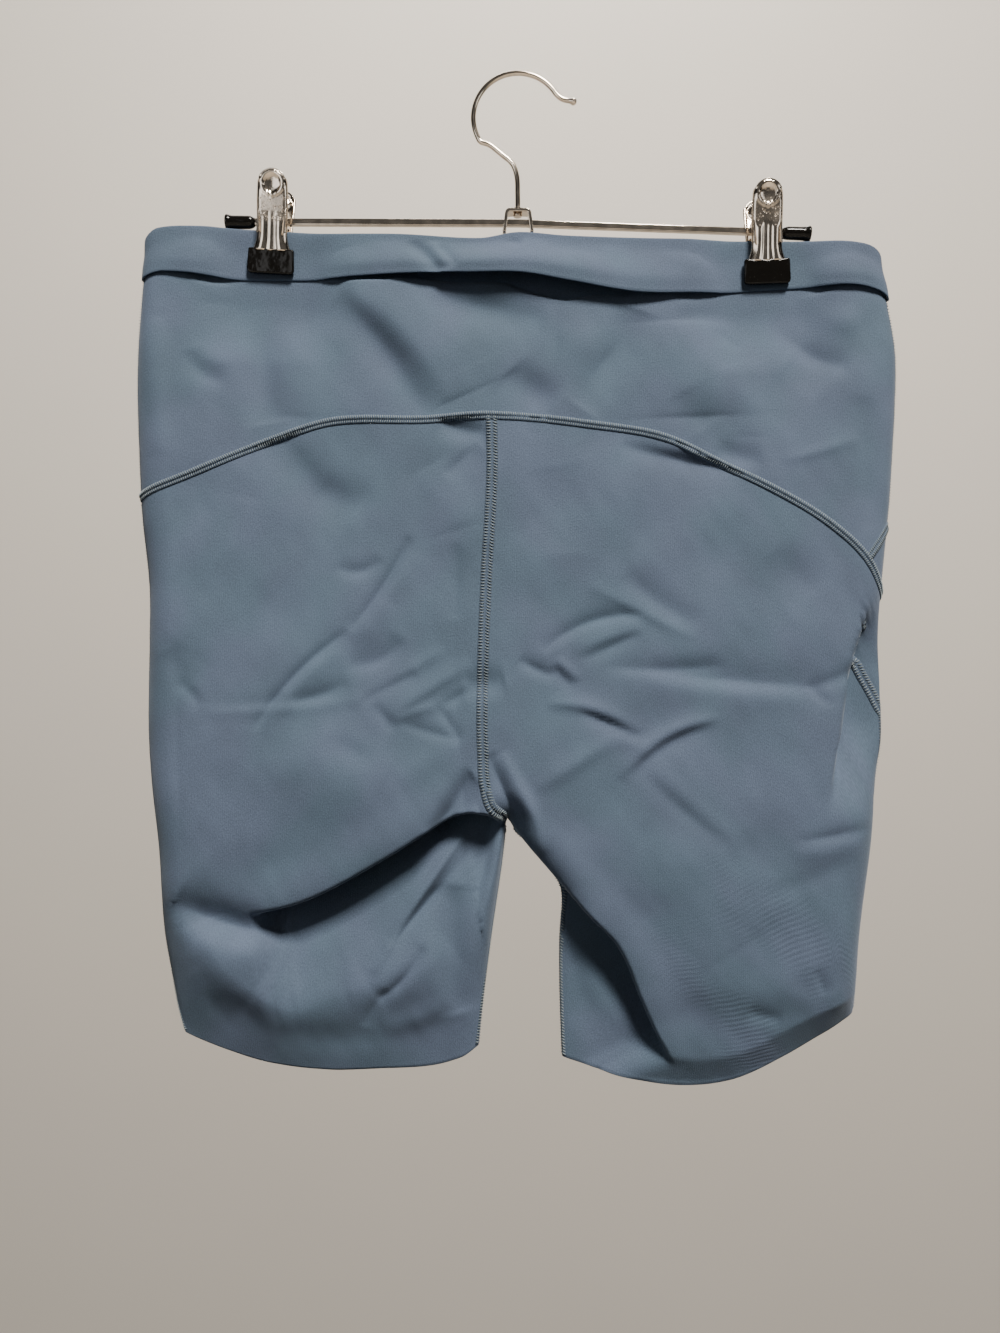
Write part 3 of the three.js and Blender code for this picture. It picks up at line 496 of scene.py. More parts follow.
def smooth_line(points, count):
    """Points evenly spaced along a smooth curve through the given ones."""
    p = np.array(points, float)
    p = np.vstack([2 * p[0] - p[1], p, 2 * p[-1] - p[-2]])
    fine = []
    t = np.linspace(0, 1, 33)[:-1, None]
    for a, b, c, d in zip(p, p[1:], p[2:], p[3:]):
        g0, g1, g2 = (math.sqrt(np.linalg.norm(v)) for v in (b - a, c - b, d - c))
        m0 = ((b - a) / g0 - (c - a) / (g0 + g1) + (c - b) / g1) * g1
        m1 = ((c - b) / g1 - (d - b) / (g1 + g2) + (d - c) / g2) * g1
        fine.append(b + m0 * t + (3 * (c - b) - 2 * m0 - m1) * t**2 + (m0 + m1 - 2 * (c - b)) * t**3)
    fine = np.vstack([*fine, p[-2:-1]])
    return respaced(fine, count)


def run_along(points):
    """The distance along a line at each of its points."""
    return np.concatenate([[0], np.cumsum(np.linalg.norm(np.diff(points, axis=0), axis=1))])


def respaced(points, count, rows=None):
    """The same line with evenly spaced points, or rows that go with its points at those places."""
    rows = points if rows is None else rows
    run = run_along(points)
    at = np.linspace(0, run[-1], count)
    return np.stack([np.interp(at, run, rows[:, k]) for k in range(rows.shape[1])], axis=1)


def beside(line, x, z):
    """How far (x, z) is from a line, on which side, and how far along the line its nearest point is."""
    away = np.full(np.shape(x), np.inf)
    side = np.ones(np.shape(x))
    along = np.zeros(np.shape(x))
    for i, ((ax, az), (bx, bz)) in enumerate(zip(line, line[1:])):
        dx, dz = bx - ax, bz - az
        px, pz = x - ax, z - az
        t = np.clip((px * dx + pz * dz) / (dx * dx + dz * dz), 0, 1)
        d = np.hypot(px - t * dx, pz - t * dz)
        nearer = d < away
        away = np.where(nearer, d, away)
        side = np.where(nearer, np.sign(dx * pz - dz * px) + (dx * pz == dz * px), side)
        along = np.where(nearer, (i + t) / (len(line) - 1), along)
    return away, side, along


def creased(rows, x, z):
    """The height of a table of creases at (x, z)."""
    total = np.zeros(np.shape(x))
    t = np.linspace(0, 1, 9)
    for x0, z0, x1, z1, bow, high, above, below, crisp in rows:
        if x0 > x1:
            x0, z0, x1, z1 = x1, z1, x0, z0
        dx, dz = x1 - x0, z1 - z0
        length = math.hypot(dx, dz)
        bend = 4 * bow * t * (1 - t)
        line = np.stack([x0 + dx * t - dz / length * bend, z0 + dz * t + dx / length * bend], axis=1)
        reach = 2.6 * max(above, below)
        low, top = line.min(0) - reach, line.max(0) + reach
        near = (x > low[0]) & (x < top[0]) & (z > low[1]) & (z < top[1])
        if not near.any():
            continue
        away, side, along = beside(line, x[near], z[near])
        half = np.where(side > 0, above, below)
        total[near] += high * np.exp(-((away / half) ** crisp)) * np.sin(np.pi * along) ** 0.6
    return total


# ---- The form of the cloth -------------------------------------------------------------------------------

NOTCH = np.vstack([smooth_line(LEFT_INNER, 25)[::-1], smooth_line(RIGHT_INNER, 25)[1:]])
for fold in (LEFT_FOLD, RIGHT_FOLD, SIDE_FOLD, LEFT_TURN, RIGHT_TURN):
    fold["points"] = smooth_line(fold["line"], 25)
OUTWARD = {"back": -1, "front": 1}


def ripples(x, z, seed, long, high):
    """Slow uneven waves, as cloth has between its creases."""
    random = np.random.default_rng(seed)
    total = np.zeros(np.shape(x))
    for _ in range(9):
        angle, phase = random.uniform(0, np.pi), random.uniform(0, 2 * np.pi)
        wave = 2 * np.pi / (long * random.uniform(0.7, 1.6))
        total += np.sin(wave * (x * np.cos(angle) + z * np.sin(angle)) + phase)
    return high * total / 3


def roll_over(inset, roll):
    """A quarter ellipse: 0 at an edge, 1 once the cloth has rolled flat."""
    return np.sqrt(1 - (1 - np.clip(inset / roll, 0, 1)) ** 2)


def pinched(x, z):
    """1 under a clip, fading to 0 to its sides and below it."""
    under = [
        (1 - ease((np.abs(x - cx) - TIP_HALF - 2) / 30)) * (1 - ease((cz + TIP_END - 14 - z) / 34))
        for cx, cz in CLIP_AT.values()
    ]
    return np.maximum(*under)


def hanging(fold, x, z):
    """The share by which a big fold steps the cloth back, and how far it drops its lip."""
    away, side, along = beside(fold["points"], x, z)
    past = side * fold["below"] * away
    stay = 1 - ease((along - fold["fade"]) / (fold["gone"] - fold["fade"]))
    stay = stay * ease(along / fold["rise"] + fold["start"])
    hang = stay * ease(along / HANG["grow"])
    past = past + fold["drop"] * hang
    back = ease((past + 1) / fold["step"]) * (1 - ease((past - fold["step"]) / fold["recover"]))
    drawn = np.where(past < 0, ease(1 + past / HANG["above"]), 1 - ease(past / HANG["below"]))
    drop = fold["drop"] * hang * drawn
    lip = HANG["bulge"] * hang * np.exp(-(((past + HANG["bulge_at"]) / HANG["bulge_wide"]) ** 2))
    return fold["deep"] * stay * back, drop, lip


def relief(layer, leg, x, z):
    """Creases and ripples on a piece: leg is -1 left, 1 right, 0 for a yoke."""
    if layer == "back":
        rows, gain = BACK_CREASES[leg], BACK_GAIN[leg]
    else:
        rows, gain = FRONT_LEG_CREASES if leg else FRONT_YOKE_CREASES, FRONT_GAIN
    out = gain * creased(rows, x, z)
    for k, (long, share) in enumerate(WAVES):
        out = out + ripples(x, z, WAVE_SEED[layer] + k, long, share * WAVE_HIGH[layer])
    if leg == 0 and layer == "back":
        edge = read(SHELF, "x", "edge", x)
        out = np.where(z > edge, np.minimum(out, 0), out)
        out = out - read(SHELF, "x", "deep", x) * ease((z - edge + 1.4) / 2.8)
    return out


def turned_away(turn, hem, x, z):
    """The share by which the lower leg turns away towards the front."""
    away, side, along = beside(turn["points"], x, z)
    past = np.maximum(side * away + turn["early"], 0)
    share = (past / (past + np.maximum(z - read(hem, "x", "z", x), 0) + 1)) ** turn["bend"]
    return share * ease(along / 0.14) * ease((1 - along) / 0.14)


def depth(layer, leg, x, z, fine=True):
    """How far a layer's middle is from the plane between the layers, and how far a fold moves it sideways."""
    out = read(BODY, "z", layer, z)
    move = np.zeros((2, *np.shape(x)))
    if layer == "back" and leg:
        fold, turn, hem = (LEFT_FOLD, LEFT_TURN, LEFT_HEM) if leg < 0 else (RIGHT_FOLD, RIGHT_TURN, RIGHT_HEM)
        back, drop, lip = hanging(fold, x, z)
        away = turned_away(turn, hem, x, z) * (1 - np.minimum(1.3 * back, 1))
        out = mix((out + lip) * (1 - back), turn["at_hem"], away)
        move = np.stack([drop * share for share in fold["way"]])
        if leg > 0:
            back, drop, lip = hanging(SIDE_FOLD, x, z)
            out = (out + 0.6 * lip) * (1 - back)
            move = move + np.stack([drop * share for share in SIDE_FOLD["way"]])
    if fine:
        ended = ease((z - YOKE_CREASES_END["z"]) / YOKE_CREASES_END["over"]) * (leg == 0)
        out = out + relief(layer, leg, x, z) * (1 - ended)
    out = mix(np.maximum(out, 1.0), LAYER_APART - SIDE_GAP, pinched(x, z))
    roll = read(BODY, "z", "roll", z)
    left = x - read(BODY, "z", "left", z)
    right = read(BODY, "z", "right", z) - x
    inner = np.where(z < CROTCH[1] + roll, beside(NOTCH, x, z)[0], roll)
    out = SIDE_GAP + out * roll_over(left, roll) * roll_over(right, roll) * roll_over(inner, roll)
    return out, move[0], move[1]


def on_cloth(layer, leg, x, z, fine=True):
    """Points on the middle of a layer, in millimetres."""
    out, dx, dz = depth(layer, leg, x, z, fine)
    return np.stack([x + dx, OUTWARD[layer] * out, z + dz], axis=-1)


def steps(count, roll_start, roll_end, extra=()):
    """Shares 0 to 1, evenly spaced, closing up over the rolled edges and round extra places."""
    turn = 1 - np.cos(np.linspace(0, np.pi / 2, 9))
    shares = np.linspace(0, 1, count + 1)
    shares = shares[(shares == 0) | (shares == 1) | ((shares > roll_start) & (shares < 1 - roll_end))]
    parts = [shares, roll_start * turn, 1 - roll_end * turn]
    for middle, half, more in extra:
        parts[0] = parts[0][np.abs(parts[0] - middle) > half]
        parts.append(np.linspace(middle - half, middle + half, more))
    return np.unique(np.concatenate(parts).round(9))


def patch(top, bottom, left, right):
    """Fills four edges, each a function of 0 to 1 that gives (x, z)."""
    corners = [edge(np.array(end)) for edge in (top, bottom) for end in (0.0, 1.0)]

    def at(u, v):
        edges = top(u), bottom(u), left(v), right(v)
        places = []
        for k in range(2):
            upper, lower, first, last = (edge[k] for edge in edges)
            a, b, c, d = (corner[k] for corner in corners)
            places.append(mix(upper, lower, v) + mix(first, last, u) - mix(mix(a, b, u), mix(c, d, u), v))
        return places

    return at


def level(rows, column, first, last, t):
    """A column of a table, by x, as an edge that ends on two side edges at t."""
    (ax, az), (bx, bz) = first(np.array(t)), last(np.array(t))

    def at(u):
        x = mix(ax, bx, u)
        ends = mix(read(rows, "x", column, ax), read(rows, "x", column, bx), u)
        return x, mix(az, bz, u) + read(rows, "x", column, x) - ends

    return at


def side_edge(side, from_z, to_z):
    def at(t):
        z = mix(from_z, to_z, t)
        return read(BODY, "z", side, z), z

    return at


def along_curve(points):
    line = smooth_line(points, 200)
    count = np.arange(len(line))

    def at(t):
        place = np.clip(t, 0, 1) * (len(line) - 1)
        return np.interp(place, count, line[:, 0]), np.interp(place, count, line[:, 1])

    return at


def unit(vectors):
    return vectors / np.maximum(np.linalg.norm(vectors, axis=-1, keepdims=True), 1e-12)


# ---- Making cloth meshes ---------------------------------------------------------------------------------

CLOTH_SURFACES = {}
# How far a cut edge rounds out, and how far in from a raw edge the distance to it is kept.
EDGE_BULGE = 0.3
RAW_REACH = 60.0


def grid_normals(points):
    across = np.gradient(points, axis=1)
    down = np.gradient(points, axis=0)
    return unit(np.cross(across, down))


def new_object(name, points, faces):
    """A mesh object made from points in millimetres."""
    mesh = bpy.data.meshes.new(name)
    mesh.from_pydata((np.asarray(points) * MM).tolist(), [], [list(f) for f in faces])
    mesh.update()
    mesh.polygons.foreach_set("use_smooth", [True] * len(mesh.polygons))
    obj = bpy.data.objects.new(name, mesh)
    bpy.context.scene.collection.objects.link(obj)
    return obj


def grid_faces(rows, cols, start=0):
    j, i = np.meshgrid(np.arange(rows - 1), np.arange(cols - 1), indexing="ij")
    a = start + (j * cols + i).ravel()
    return np.stack([a, a + 1, a + cols + 1, a + cols], axis=1)


def cloth_wall(name, points, raw_edge, sign):
    """A cloth piece from the grid of its middle surface: a wall with rounded edges, UVs in metres along the
    cloth, and an attribute with the distance to its raw edge, the first or the last row. Sign is 1 where the
    grid's normals point out."""
    rows, cols = points.shape[:2]
    offset = sign * CLOTH / 2 * grid_normals(points)
    outer = (points + offset).reshape(-1, 3)
    inner = (points - offset).reshape(-1, 3)
    count = rows * cols
    faces = grid_faces(rows, cols)
    flipped = faces[:, ::-1]
    front, back = (faces, flipped + count) if sign > 0 else (flipped, faces + count)
    edge = np.concatenate([
        np.arange(cols),
        np.arange(1, rows) * cols + cols - 1,
        (rows - 1) * cols + np.arange(cols - 2, -1, -1),
        np.arange(rows - 2, 0, -1) * cols,
    ])
    inward = np.zeros((rows, cols, 3))
    inward[0] += unit(points[1] - points[0])
    inward[-1] += unit(points[-2] - points[-1])
    inward[:, 0] += unit(points[:, 1] - points[:, 0])
    inward[:, -1] += unit(points[:, -2] - points[:, -1])
    bulge = points.reshape(-1, 3)[edge] - EDGE_BULGE * unit(inward.reshape(-1, 3)[edge])
    ring = 2 * count + np.arange(len(edge))
    following = np.roll(np.arange(len(edge)), -1)
    upper = np.stack([edge[following], edge, ring, ring[following]], axis=1)
    lower = np.stack([ring[following], ring, edge + count, edge[following] + count], axis=1)
    if sign < 0:
        upper, lower = upper[:, ::-1], lower[:, ::-1]
    obj = new_object(name, np.concatenate([outer, inner, bulge]), np.concatenate([front, back, upper, lower]))

    across, down = (np.linalg.norm(np.diff(points, axis=k), axis=-1) for k in (1, 0))
    run_u = np.concatenate([np.zeros((rows, 1)), np.cumsum(across, axis=1)], 1)
    run_u -= run_u[:, cols // 2, None] - points[:, cols // 2, 0, None]
    run_v = np.concatenate([np.zeros((1, cols)), np.cumsum(down, axis=0)], 0)
    raw = np.minimum(RAW_REACH, run_v if raw_edge == "first" else run_v[-1] - run_v).ravel()
    raw = np.concatenate([raw, raw, np.zeros(len(edge))])
    place = np.stack([run_u, -run_v], axis=-1).reshape(-1, 2) * MM
    place = np.concatenate([place, place, place[edge]])
    index = np.empty(len(obj.data.loops), int)
    obj.data.loops.foreach_get("vertex_index", index)
    uv = obj.data.uv_layers.new(name="cloth")
    uv.data.foreach_set("uv", place[index].ravel().astype(np.float32))
    attribute = obj.data.attributes.new("edge_distance", "FLOAT", "POINT")
    attribute.data.foreach_set("value", raw.astype(np.float32))
    return obj


def check_closed(obj):
    """Raises an error if a mesh has an open edge or faces that point inwards."""
    bm = bmesh.new()
    bm.from_mesh(obj.data)
    open_edges = sum(not e.is_manifold for e in bm.edges)
    volume = bm.calc_volume(signed=True)
    bm.free()
    if open_edges or volume <= 0:
        raise RuntimeError(f"{obj.name}: {open_edges} open edges, volume {volume}")


# ---- Yokes and legs --------------------------------------------------------------------------------------

SIDE_TOP = {side: float(read(WAIST, "x", "top", read(BODY, "z", side, -86.0))) for side in ("left", "right")}


def yoke_grid(layer, seam, columns_across):
    """The middle surface of a yoke: its flap from the free edge up, over the fold, and down to the seam."""
    left = side_edge("left", SIDE_TOP["left"], seam["z"][0])
    right = side_edge("right", SIDE_TOP["right"], seam["z"][-1])
    flat = patch(level(WAIST, "top", left, right, 0.0), level(seam, "z", left, right, 1.0), left, right)

    def body(u, v, fine=False):
        x, z = flat(u, v * (1 - SEAM_HALF / YOKE_LONG))
        return on_cloth(layer, 0, x, z, fine)

    def outside(u, v):
        step = 1e-4
        across = body(np.minimum(u + step, 1), v) - body(np.maximum(u - step, 0), v)
        down = body(u, np.minimum(v + step, 1)) - body(u, np.maximum(v - step, 0))
        return unit(np.cross(across, down)) * OUTWARD[layer]

    us = steps(columns_across, 0.034, 0.034)
    none = np.zeros_like(us)
    lower = body(*np.meshgrid(us, np.linspace(0, 1, YOKE_ROWS[layer] + 1)), fine=True)
    top, normal, rise = body(us, none), outside(us, none), np.array([0, 0, 1.0])
    turn = np.stack([
        top + normal * FOLD_RADIUS * (1 + np.cos(a)) + rise * FOLD_RADIUS * np.sin(a)
        for a in np.linspace(0, np.pi, FOLD_ROWS)[1:-1]
    ])

    drop = top[:, 2] - read(WAIST, "x", "edge", top[:, 0] * 1.02)
    tall = np.abs(flat(us, np.ones_like(us))[1] - flat(us, none)[1])
    u, share = np.meshgrid(us, np.linspace(1, 0, FLAP_ROWS))
    reach = share * drop / tall
    base = body(u, reach)
    x, z = base[..., 0], base[..., 2]
    free = ease(share * FLAP["grow"]) * read(WAIST, "x", "lift", top[:, 0])
    free = free * (1 - pinched(top[:, 0], top[:, 2])) * (1 if layer == "back" else FLAP["front"])
    dents = creased(FLAP_CREASES, x, z) if layer == "back" else 0
    dents = (dents + ripples(x, z, FLAP["seed"], FLAP["long"], FLAP["high"])) * ease(share * 3)
    curled = ease((share - FLAP["curl_from"]) / (1 - FLAP["curl_from"]))
    curl = FLAP["curl"] * curled * (1 - pinched(x, z))
    close = (2 * FOLD_RADIUS - CLOTH - 0.05) * ease(share * 2) * (1 - ease(free / 1.2))
    away = 2 * FOLD_RADIUS - close + np.maximum(free + dents * (free > 0.5) - curl * ease(free / 1.5), 0)
    flap = base + outside(u, reach) * away[..., None]
    CLOTH_SURFACES[f"{layer}_yoke"] = lower
    return np.concatenate([flap, turn, lower])


def leg_grid(layer, side, seam, centre_seam, cross, inner, hem, columns_across):
    """The middle surface of a leg, from the yoke seam down past the crotch to the hem."""
    left = side == "left"
    folded = layer == "back"
    end = 0 if left else -1
    cross = columns("x z", cross)

    def half(top, bottom, inner_edge):
        edges = [side_edge(side, top["z"][end], bottom["z"][end]), inner_edge][:: 1 if left else -1]
        return patch(level(top, "z", *edges, 0.0), level(bottom, "z", *edges, 1.0), *edges)

    upper = half(seam, cross, along_curve(centre_seam))
    lower = half(cross, hem, along_curve(inner))
    if left:
        us = steps(columns_across, 0.076, 0.03)
    elif folded:
        us = steps(columns_across, 0.02, 0.076, extra=[(LIP, 0.05, 25)])
    else:
        us = steps(columns_across, 0.03, 0.076)
    above, under = LEG_ROWS[layer]
    vs = np.concatenate([
        np.linspace(0, LEG_SPLIT, above, endpoint=False),
        [LEG_SPLIT + 0.006],
        np.linspace(LEG_SPLIT + 0.012, 1, under),
    ])
    if folded and left:
        near = np.linspace(LEG_SPLIT - 0.035, LEG_SPLIT + 0.03, 26)
        vs = np.concatenate([vs[vs < near[0] - 0.001], near, vs[vs > near[-1] + 0.001]])
    vs = np.unique(vs)

    def flat(u, v):
        x_up, z_up = upper(u, v / LEG_SPLIT)
        x_low, z_low = lower(u, (v - LEG_SPLIT) / (1 - LEG_SPLIT))
        return np.where(v < LEG_SPLIT, x_up, x_low), np.where(v < LEG_SPLIT, z_up, z_low)

    u, v = np.meshgrid(us, vs)
    if folded and not left:
        u = follow_fold(flat, u, vs)
    cut = SEAM_HALF / LEG_WIDE * (1 - ease((v - LEG_SPLIT) / 0.02))
    u = u * (1 - cut) if left else cut + u * (1 - cut)
    x, z = flat(u, mix(1.5 * SEAM_HALF / LEG_LONG, 1, v))
    points = on_cloth(layer, -1 if left else 1, x, z)
    CLOTH_SURFACES[f"{layer}_leg_{side}"] = points
    return points


def follow_fold(flat, u, vs):
    """Slides the columns sideways, so that the one at LIP runs along the right leg's fold."""
    shares = np.linspace(0, 1, 400)
    target = []
    for row in vs:
        x, z = flat(shares, np.full_like(shares, row))
        _, side, _ = beside(RIGHT_FOLD["points"], x, z)
        inside = np.nonzero(side * RIGHT_FOLD["below"] > 0)[0]
        found = row > LEG_SPLIT and len(inside)
        target.append(max(LIP_TOP, shares[inside[-1]]) if found else LIP_TOP)
    target = np.convolve(np.pad(target, 6, mode="edge"), np.ones(13) / 13, mode="valid")
    target = np.where(vs <= LEG_SPLIT, mix(LIP, LIP_TOP, ease(vs / LEG_SPLIT)), target)[:, None]
    return np.where(u < LIP, u / LIP * target, target + (u - LIP) / (1 - LIP) * (1 - target))


# ---- Seams laid on the cloth -----------------------------------------------------------------------------

# The two kinds of seam, as sections of (across, above) places, the steps along a line and its tape, and how
# high the tape's ends are.
PIPED = [
    (2.3, -0.3), (2.2, 0.25), (1.7, 0.8), (0.9, 1.05), (0.1, 0.8), (-0.4, 0.5), (-1.4, 0.5), (-2.2, 0.25),
    (-2.3, -0.3),
]
FLAT = [(3.1, -0.3), (3.0, 0.18), (0.5, 0.26), (0, 0.05), (-0.5, 0.26), (-3.0, 0.18), (-3.1, -0.3)]
SEAM_STEP = 0.9
BAND_STEP = 1.1
LOW_END = 0.35


class Surface:
    """The outer cloth surface, to lay seams and stitches on."""

    def __init__(self):
        points, faces, start = [], [], 0
        for grid in CLOTH_SURFACES.values():
            rows, cols = grid.shape[:2]
            points.append(grid.reshape(-1, 3))
            faces.append(grid_faces(rows, cols, start))
            start += rows * cols
        self.tree = BVHTree.FromPolygons(np.concatenate(points).tolist(), np.concatenate(faces).tolist())

    def lay(self, point, facing):
        """The nearest point on the cloth and its outward normal."""
        place, normal, _, _ = self.tree.find_nearest(Vector(point))
        normal = Vector(normal)
        if normal.dot(Vector(facing)) < 0:
            normal.negate()
        return np.array(place), np.array(normal)


class SeamLine:
    """A line on the cloth, with points at any distance along it and any distance across it."""

    def __init__(self, surface, points, facings):
        count = max(int(float(run_along(points)[-1]) / SEAM_STEP), 3)
        places = zip(respaced(points, count), respaced(points, count, facings))
        laid = [surface.lay(place, facing) for place, facing in places]
        self.surface = surface
        self.points = smoothed(np.array([p for p, _ in laid]), 2)
        self.normals = unit(smoothed(np.array([n for _, n in laid]), 4))
        self.across = unit(np.cross(self.normals, unit(np.gradient(self.points, axis=0))))
        self.run = run_along(self.points)
        self.length = self.run[-1]

    def value(self, rows, s):
        return np.array([np.interp(s, self.run, rows[:, k]) for k in range(3)])

    def at(self, s, w, h):
        """A point s along the line, w across it and h above the cloth's face."""
        s = min(max(s, 0), self.length)
        point, normal = self.value(self.points, s), unit(self.value(self.normals, s))
        if w:
            aside = point + w * self.value(self.across, s)
            place, own = self.surface.lay(aside, normal)
            sunk = np.linalg.norm(place - point) > 1.5 * abs(w) + 0.4
            point, normal = (aside, normal) if sunk else (place, unit(own + normal))
        return point + normal * (CLOTH / 2 + h)


def smoothed(rows, times):
    for _ in range(times):
        inner = 0.25 * rows[:-2] + 0.5 * rows[1:-1] + 0.25 * rows[2:]
        rows = np.vstack([rows[:1], inner, rows[-1:]])
    return rows


def tube_rings(rings, start):
    """Points and faces of a closed tube through rings of the same number of points."""
    rings = np.asarray(rings)
    count, around = rings.shape[:2]
    faces = []
    for ring in range(start, start + (count - 1) * around, around):
        for i in range(around):
            a, b = ring + i, ring + (i + 1) % around
            faces.append((a, b, b + around, a + around))
    last = start + (count - 1) * around
    faces.append(tuple(range(start, start + around))[::-1])
    faces.append(tuple(range(last, last + around)))
    return rings.reshape(-1, 3), faces


def thread(line, path, radius):
    """A short four-sided thread through places (s, w, h) of a seam line, thinner at its ends."""
    centres = np.array([line.at(*place) for place in path])
    ahead = unit(np.gradient(centres, axis=0))
    side = unit(np.cross(ahead, unit(line.value(line.normals, path[len(path) // 2][0]))))
    up = np.cross(side, ahead)
    thick = np.ones(len(path))
    thick[0] = thick[-1] = 0.6
    corners = [(math.cos(a), math.sin(a)) for a in (math.pi * (0.25 + 0.5 * k) for k in range(4))]
    return [
        [c + radius * t * (out * s + over * n) for out, over in corners]
        for c, s, n, t in zip(centres, side, up, thick)
    ]


class Bundle:
    """Gathers closed shapes into one mesh."""

    def __init__(self):
        self.points, self.faces, self.count = [], [], 0

    def add(self, rings):
        points, faces = tube_rings(rings, self.count)
        self.points.append(points)
        self.faces.extend(faces)
        self.count += len(points)

    def make(self, name):
        obj = new_object(name, np.concatenate(self.points), self.faces)
        bm = bmesh.new()
        bm.from_mesh(obj.data)
        bmesh.ops.recalc_face_normals(bm, faces=bm.faces)
        bm.to_mesh(obj.data)
        bm.free()
        return obj


def lay_band(bundle, line, section):
    """Sweeps a closed section of (w, h) places along a whole seam line, lower and narrower at its ends."""
    stations = np.linspace(0, line.length, max(int(line.length / BAND_STEP), 4))
    rings = []
    for s in stations:
        low = LOW_END if s in (stations[0], stations[-1]) else 1
        rings.append([line.at(s, w * (0.8 + 0.2 * low), h * low if h > 0 else h) for w, h in section])
    bundle.add(rings)


def piped_seam(line, bands, threads, pitch):
    """A raised overlocked seam: a rounded ridge above a flat strip, with a thread over it at every stitch."""
    lay_band(bands, line, PIPED)
    for k in range(int(line.length / pitch)):
        s = (k + 0.5) * pitch
        over = [(s, 2.1, 0.35), (s + 0.1, 1.5, 1.0), (s + 0.2, 0.6, 1.12), (s + 0.3, -0.1, 0.75)]
        back = [(s + 0.3, -0.5, 0.6), (s + 0.15, -1.3, 0.68), (s, -2.1, 0.35)]
        threads.add(thread(line, over, 0.24))
        threads.add(thread(line, back, 0.22))


def flat_seam(line, bands, threads, pitch):
    """A flat seam under two columns of stitches, one slanting and one straight."""
    lay_band(bands, line, FLAT)
    for k in range(int(line.length / pitch)):
        s = (k + 0.3) * pitch
        slanting = [(s + 0.9, 2.9, 0.2), (s + 0.5, 1.7, 0.5), (s, 0.5, 0.3)]
        straight = [(s + 0.2, -0.5, 0.3), (s + 0.2, -1.7, 0.5), (s + 0.2, -2.9, 0.2)]
        for path in (slanting, straight):
            threads.add(thread(line, path, 0.26))


# ---- Shader maths ----------------------------------------------------------------------------------------


class Socket:
    """A number on a node's socket. An expression on sockets adds the Math nodes that work it out."""

    def __init__(self, nodes, source):
        self.nodes, self.source = nodes, source

    def maths(self, operation, *values):
        inputs = {f"i{k}": value for k, value in enumerate(values)}
        node = self.nodes.node("ShaderNodeMath", {"operation": operation}, **inputs)
        return self.nodes.number(node.outputs[0])

    def __add__(self, other):
        return self.maths("ADD", self, other)

    def __sub__(self, other):
        return self.maths("SUBTRACT", self, other)

    def __rsub__(self, other):
        return self.maths("SUBTRACT", other, self)

    def __mul__(self, other):
        return self.maths("MULTIPLY", self, other)

    __radd__ = __add__
    __rmul__ = __mul__

    def sine(self):
        return self.maths("SINE", self)

    def clamped(self):
        return self.nodes.number(self.nodes.node("ShaderNodeClamp", Value=self).outputs[0])

    def between(self, low, high):
        """0 below low, 1 above high, with a smooth rise."""
        smooth = {"interpolation_type": "SMOOTHSTEP"}
        node = self.nodes.node("ShaderNodeMapRange", smooth, Value=self, From_Min=low, From_Max=high)
        return self.nodes.number(node.outputs[0])


class Nodes:
    """A tree whose nodes all come from one method."""

    def __init__(self, tree):
        self.tree = tree

    def node(self, kind, settings=None, **values):
        """A node: its settings are made first, then the values or links of its named or numbered inputs."""
        node = self.tree.nodes.new(kind)
        for name, value in (settings or {}).items():
            setattr(node, name, value)
        for name, value in values.items():
            self.feed(node.inputs[int(name[1:]) if name[1:].isdigit() else name.replace("_", " ")], value)
        return node

    def feed(self, slot, value):
        if isinstance(value, Socket):
            self.tree.links.new(value.source, slot)
        elif isinstance(value, bpy.types.NodeSocket):
            self.tree.links.new(value, slot)
        else:
            slot.default_value = value

    def number(self, source):
        return Socket(self, source)


class Finish(Nodes):
    """A procedural material for one finish."""

    def __init__(self, name, **constants):
        self.material = bpy.data.materials.new(name)
        self.material.use_nodes = True
        super().__init__(self.material.node_tree)
        self.shader = self.tree.nodes["Principled BSDF"]
        for socket, value in constants.items():
            self.set(socket.replace("_", " "), value)

    def set(self, socket, value):
        self.feed(self.shader.inputs[socket], value)

    def place(self):
        return self.node("ShaderNodeTexCoord").outputs["Object"]

    def noise(self, vector, scale, detail=3.0, roughness=0.5):
        values = {"Vector": vector, "Scale": scale, "Detail": detail, "Roughness": roughness}
        return self.number(self.node("ShaderNodeTexNoise", **values).outputs["Fac"])

    def colour(self, a, b, share, blend="MIX"):
        """A colour between two others."""
        node = self.node("ShaderNodeMix", {"data_type": "RGBA", "blend_type": blend}, i0=share, i6=a, i7=b)
        return node.outputs[2]

    def bump(self, height, distance):
        self.set("Normal", self.node("ShaderNodeBump", Height=height, Distance=distance).outputs[0])


def shaded(colour, factor=1.0):
    """A colour made lighter or darker, with its alpha."""
    return (*(c * factor for c in colour), 1.0)


